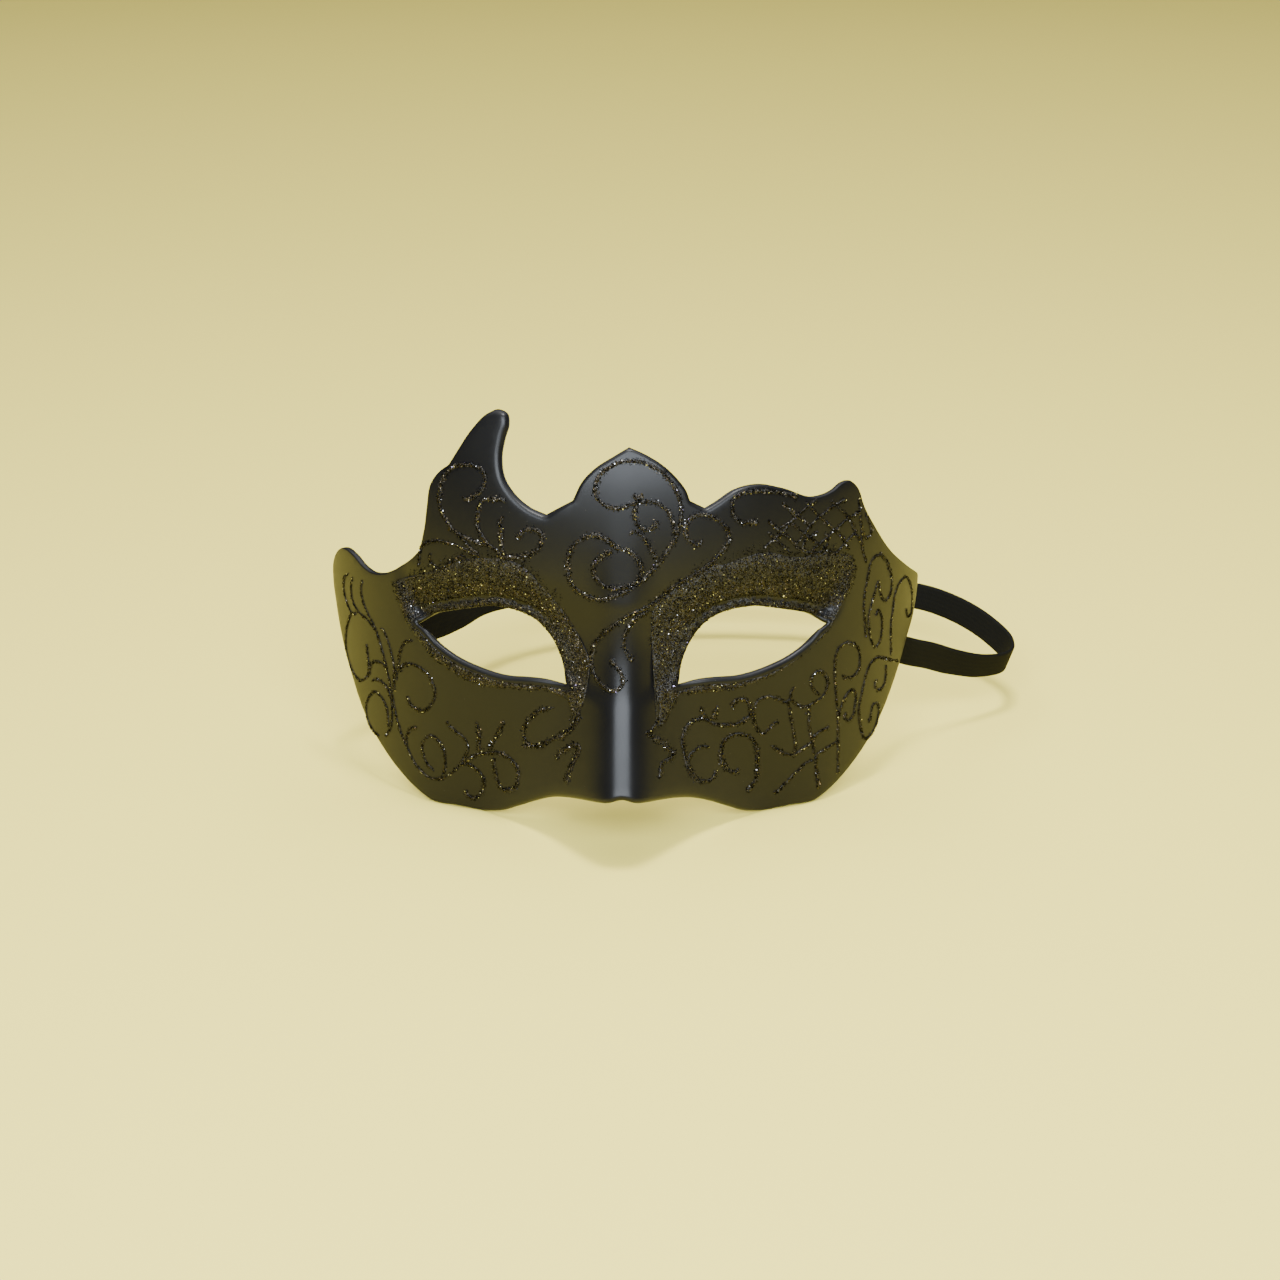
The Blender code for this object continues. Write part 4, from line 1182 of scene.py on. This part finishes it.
class MASK_OT_scrolls(Operator):
    """Draw the glitter scroll lines as raised beads of glue set with chips"""

    bl_idname = "half_mask.scrolls"
    bl_label = "Glitter scrolls"

    def execute(self, context):
        form = context.scene.glitter_form
        generator = np.random.default_rng(form.seed + 1)
        verts, faces = [], []
        spots, normals = [], []
        for name, knots in SCROLLS.items():
            share = next((value for start, value in LINE_SHARES if name.startswith(start)), 1.0)
            line = list(face_points(knots))
            spans = curve_spans(line, [ROUND] * len(line), False, 10)
            run = even_points(np.concatenate(spans + [np.array(line[-1:])]), LINE_STEP)
            half = self.half_widths(len(run), 0.5 * form.line_width * share, generator)
            self.add_bead(run, BEAD_SHARE * half, form, share, verts, faces, generator)
            self.add_spots(run, half, form, share, spots, normals, generator)
        mesh = bpy.data.meshes.new("glitter_scrolls")
        mesh.from_pydata(np.concatenate(verts).tolist(), [], faces)
        beads = finish_object("glitter_scrolls", mesh)
        beads.data.materials.append(bpy.data.materials["glitter_glue"])
        spots, normals = np.concatenate(spots), np.concatenate(normals)
        sizes = form.chip_size * generator.lognormal(0.05, 0.25, len(spots))
        scatter_chips("scroll_chips", spots, normals, sizes, 1.0, generator)
        return {"FINISHED"}

    def half_widths(self, count, half, generator):
        """Half widths along a line: uneven, with rounded ends and a drop of glue at the last one."""
        rough = np.convolve(generator.normal(0.0, 1.0, count + 8), np.ones(9) / 9.0, "valid")
        width = half * (1.0 + 0.40 * rough + 0.06 * generator.normal(0.0, 1.0, count))
        place = np.arange(count) * LINE_STEP
        last = place[-1] - place
        blob = np.exp(-((last - 0.0009) / 0.0009) ** 2)
        width = width * (1.0 + 0.35 * blob)
        ends = np.minimum(place, last) / (1.2 * half)
        return width * np.sqrt(np.clip(1.0 - (1.0 - np.clip(ends, 0.0, 1.0)) ** 2, 0.01, 1.0))

    def across(self, run):
        """Unit directions across a laid-out line."""
        way = np.gradient(run, axis=0)
        way /= np.linalg.norm(way, axis=1)[:, None]
        return np.stack((-way[:, 1], way[:, 0]), axis=1)

    def add_bead(self, run, half, form, share, verts, faces, generator):
        """One closed bead of glue along a laid-out line, bent onto the face."""
        side = self.across(run)
        start = sum(len(group) for group in verts)
        rings = []
        for offset, high in BEAD_SECTION:
            flat = run + side * (half * offset)[:, None]
            surface, inward = bend(flat)
            swell = np.minimum(half / (0.5 * BEAD_SHARE * form.line_width * share), 1.15)
            height = form.line_height * high * swell * (0.55 + 0.45 * share)
            if high > 0.0:
                height = height * generator.uniform(0.45, 1.30, len(run))
            rings.append(surface - inward * height[:, None])
        rings = np.stack(rings, axis=1)
        verts.append(rings.reshape(-1, 3))
        count = len(BEAD_SECTION)
        for first in range(len(run) - 1):
            a, b = start + first * count, start + (first + 1) * count
            faces.extend((a + i, a + (i + 1) % count, b + (i + 1) % count, b + i) for i in range(count))
        faces.append([start + i for i in range(count)][::-1])
        faces.append([start + (len(run) - 1) * count + i for i in range(count)])

    def add_spots(self, run, half, form, share, spots, normals, generator):
        """Places and directions of the chips on one line."""
        area = 2.0 * half.mean() * len(run) * LINE_STEP
        count = int(area * 1e4 * form.line_chips)
        place = generator.uniform(0.0, len(run) - 1.001, count)
        index = place.astype(int)
        part = (place - index)[:, None]
        offset = np.clip(generator.normal(0.0, 0.52, count), -1.15, 1.15)
        middle = run[index] * (1.0 - part) + run[index + 1] * part
        side = self.across(run)[index]
        surface, inward = bend(middle + side * (half[index] * offset)[:, None])
        round_top = np.sqrt(np.clip(1.0 - (offset / BEAD_SHARE) ** 2, 0.0, 1.0))
        high = form.line_height * round_top * (0.55 + 0.45 * share)
        spots.append(surface - inward * (0.85 * high)[:, None])
        lean = np.stack((side[:, 0], np.zeros(count), side[:, 1]), axis=1)
        normal = -inward + lean * (0.55 * offset)[:, None]
        normals.append(normal / np.linalg.norm(normal, axis=1)[:, None])


class MASK_OT_strap(Operator):
    """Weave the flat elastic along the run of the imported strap"""

    bl_idname = "half_mask.strap"
    bl_label = "Elastic strap"

    def execute(self, context):
        form = context.scene.strap_form
        seats = []
        for table in (LEFT_SEAT, RIGHT_SEAT):
            flat = np.array([flatten(across * HALF_WIDTH, up * HEIGHT) for across, up in table])
            surface, inward = bend(flat, WALL)
            seats.append(list(surface + inward * STRAP_INSET))
        free = []
        for across, back, up in STRAP_RUN:
            free.append(MASK_ORIGIN + (across * HALF_WIDTH, WRAP_DEPTH + back * STRAP_LOOP, up * HEIGHT))
        knots = seats[0] + free + seats[1]
        spans = curve_spans(knots, [ROUND] * len(knots), False, 12)
        step = form.rib_pitch / 4.0
        run = even_points(np.concatenate(spans + [np.array(knots[-1:])]), step)
        share = np.linspace(0.0, 1.0, len(run))[:, None]
        upright = smooth_step(0.06, LEAN_ENDS[0], share) * smooth_step(0.06, LEAN_ENDS[1], 1.0 - share)
        lean = math.radians(STRAP_LEAN) * upright
        along = np.gradient(run, axis=0)
        along /= np.linalg.norm(along, axis=1)[:, None]
        up = np.array((0.0, 0.0, 1.0)) - along * along[:, 2:]
        up /= np.linalg.norm(up, axis=1)[:, None]
        side = np.cross(along, up)
        up, side = up * np.cos(lean) - side * np.sin(lean), side * np.cos(lean) + up * np.sin(lean)
        rib = np.cos(np.arange(len(run)) * math.pi / 2.0)
        half, thin = 0.5 * STRAP_WIDTH, 0.5 * STRAP_THICKNESS
        across = np.linspace(-1.0, 1.0, 3 * form.channels + 1)
        rings, rib_light_and_shade = [], []
        for face in (1.0, -1.0):
            for share in across * face:
                channel = abs(math.sin(math.pi * form.channels * 0.5 * (share + 1.0)))
                round_edge = math.sqrt(max(1.0 - abs(share) ** 14, 0.0))
                crown = 0.5 + 0.5 * rib * (1.0 if channel > 0.4 else 0.5)
                wall = thin * (0.30 + 0.62 * round_edge) + form.rib_height * (crown - 0.6) + 0.00006 * channel
                reach = half * share * (1.0 + 0.010 * (rib if abs(share) > 0.95 else 0.0))
                reach = np.broadcast_to(reach, len(run))[:, None]
                rings.append(run + side * (face * wall)[:, None] + up * reach)
                # Painted light for the elastic: lighter on rib crowns and raised cords, darker in the valleys
                # between them.
                rib_light_and_shade.append(crown * (0.45 + 0.55 * channel))
        rings = np.stack(rings, axis=1)
        count = rings.shape[1]
        first = (np.arange(len(run) - 1) * count)[:, None]
        base, beside = first + np.arange(count), first + (np.arange(count) + 1) % count
        faces = np.stack((base, beside, beside + count, base + count), axis=2).reshape(-1, 4).tolist()
        last = (len(run) - 1) * count
        faces.append(list(range(count))[::-1])
        faces.append(list(range(last, last + count)))
        mesh = bpy.data.meshes.new("elastic_band")
        mesh.from_pydata(rings.reshape(-1, 3).tolist(), [], faces)
        attribute = mesh.attributes.new("crown", "FLOAT", "POINT")
        attribute.data.foreach_set("value", np.stack(rib_light_and_shade, axis=1).ravel())
        band = finish_object("elastic_band", mesh)
        band.data.materials.append(elastic_finish(form))
        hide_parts("elastic_strap")
        return {"FINISHED"}


class MASK_OT_pads(Operator):
    """Give the two packed strap pads their finish"""

    bl_idname = "half_mask.pads"
    bl_label = "Strap pads"

    def execute(self, context):
        finish = pad_finish()
        for name in ("strap_pad_left", "strap_pad_right"):
            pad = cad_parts[name]
            pad.data.materials.clear()
            pad.data.materials.append(finish)
        return {"FINISHED"}


class MASK_OT_stage(Operator):
    """Lay the paper, hang the lamps and set the camera at the photograph's angle"""

    bl_idname = "half_mask.stage"
    bl_label = "Stage"

    def execute(self, context):
        form = context.scene.stage_form
        scene = context.scene
        mesh = bpy.data.meshes.new("paper")
        corners = [(PAPER_REACH * x, PAPER_REACH * y, 0.0) for x, y in ((-1, -1), (1, -1), (1, 1), (-1, 1))]
        mesh.from_pydata(corners, [], [(0, 1, 2, 3)])
        paper = bpy.data.objects.new("paper", mesh)
        scene.collection.objects.link(paper)
        paper.data.materials.append(paper_finish(form))
        paper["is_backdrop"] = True
        self.add_lamp("key", (0.02, -0.16, 0.95), (0.0, -0.02, 0.03), (0.20, 0.20), form.key)
        self.add_lamp("ceiling", (0.0, 0.55, 1.80), (0.0, 0.55, 0.0), (2.8, 2.8), form.ceiling)
        front = self.add_lamp("front", (-0.013, -1.00, 0.72), (-0.013, -0.09, 0.05), (0.95, 0.44), form.front)
        front.color = (0.84, 0.91, 1.0)
        world = bpy.data.worlds.new("room")
        world.use_nodes = True
        world.node_tree.nodes["Background"].inputs["Color"].default_value = (*form.room, 1.0)
        scene.world = world
        data = bpy.data.cameras.new("camera")
        data.lens = form.lens
        data.sensor_width = SENSOR_WIDTH
        camera = bpy.data.objects.new("camera", data)
        scene.collection.objects.link(camera)
        camera.location = CAMERA_PLACE
        target = Vector(CAMERA_TARGET)
        camera.rotation_mode = "QUATERNION"
        camera.rotation_quaternion = (target - camera.location).to_track_quat("-Z", "Y")
        scene.camera = camera
        return {"FINISHED"}

    def add_lamp(self, name, place, target, size, power):
        """One soft lamp of a width and height, turned to a target."""
        data = bpy.data.lights.new(name, "AREA")
        data.shape = "RECTANGLE"
        data.size, data.size_y = size
        data.energy = power
        lamp = bpy.data.objects.new(name, data)
        bpy.context.scene.collection.objects.link(lamp)
        lamp.location = place
        lamp.rotation_mode = "QUATERNION"
        lamp.rotation_quaternion = (Vector(target) - lamp.location).to_track_quat("-Z", "Y")
        return data


class MASK_PT_panel(Panel):
    """Lists the mask's pieces and their sizes"""

    bl_idname = "MASK_PT_panel"
    bl_label = "Carnival half mask"
    bl_space_type = "VIEW_3D"
    bl_region_type = "UI"
    bl_category = "Half mask"

    def draw(self, context):
        for group, operators in PIECES:
            box = self.layout.box()
            for operator in operators:
                box.operator(operator.bl_idname)
            form = getattr(context.scene, group)
            for name in form.__annotations__:
                box.prop(form, name)


FORMS = (
    ("mask_form", MaskForm),
    ("glitter_form", GlitterForm),
    ("strap_form", StrapForm),
    ("stage_form", StageForm),
)
PIECES = (
    ("mask_form", (MASK_OT_shell,)),
    ("glitter_form", (MASK_OT_socket_glitter, MASK_OT_scrolls)),
    ("strap_form", (MASK_OT_strap, MASK_OT_pads)),
    ("stage_form", (MASK_OT_stage,)),
)


def register():
    for name, form in FORMS:
        bpy.utils.register_class(form)
        setattr(bpy.types.Scene, name, PointerProperty(type=form))
    for group, operators in PIECES:
        for operator in operators:
            bpy.utils.register_class(operator)
    bpy.utils.register_class(MASK_PT_panel)


def unregister():
    bpy.utils.unregister_class(MASK_PT_panel)
    for group, operators in PIECES:
        for operator in operators:
            bpy.utils.unregister_class(operator)
    for name, form in FORMS:
        delattr(bpy.types.Scene, name)
        bpy.utils.unregister_class(form)


def main():
    register()
    bpy.ops.half_mask.shell()
    bpy.ops.half_mask.socket_glitter()
    bpy.ops.half_mask.scrolls()
    bpy.ops.half_mask.strap()
    bpy.ops.half_mask.pads()
    bpy.ops.half_mask.stage()
    boxes = {"cad": CAD_BOX, "visual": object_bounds()}
    boxes = {name: [list(corner) for corner in box] for name, box in boxes.items()}


if __name__ == "__main__":
    main()
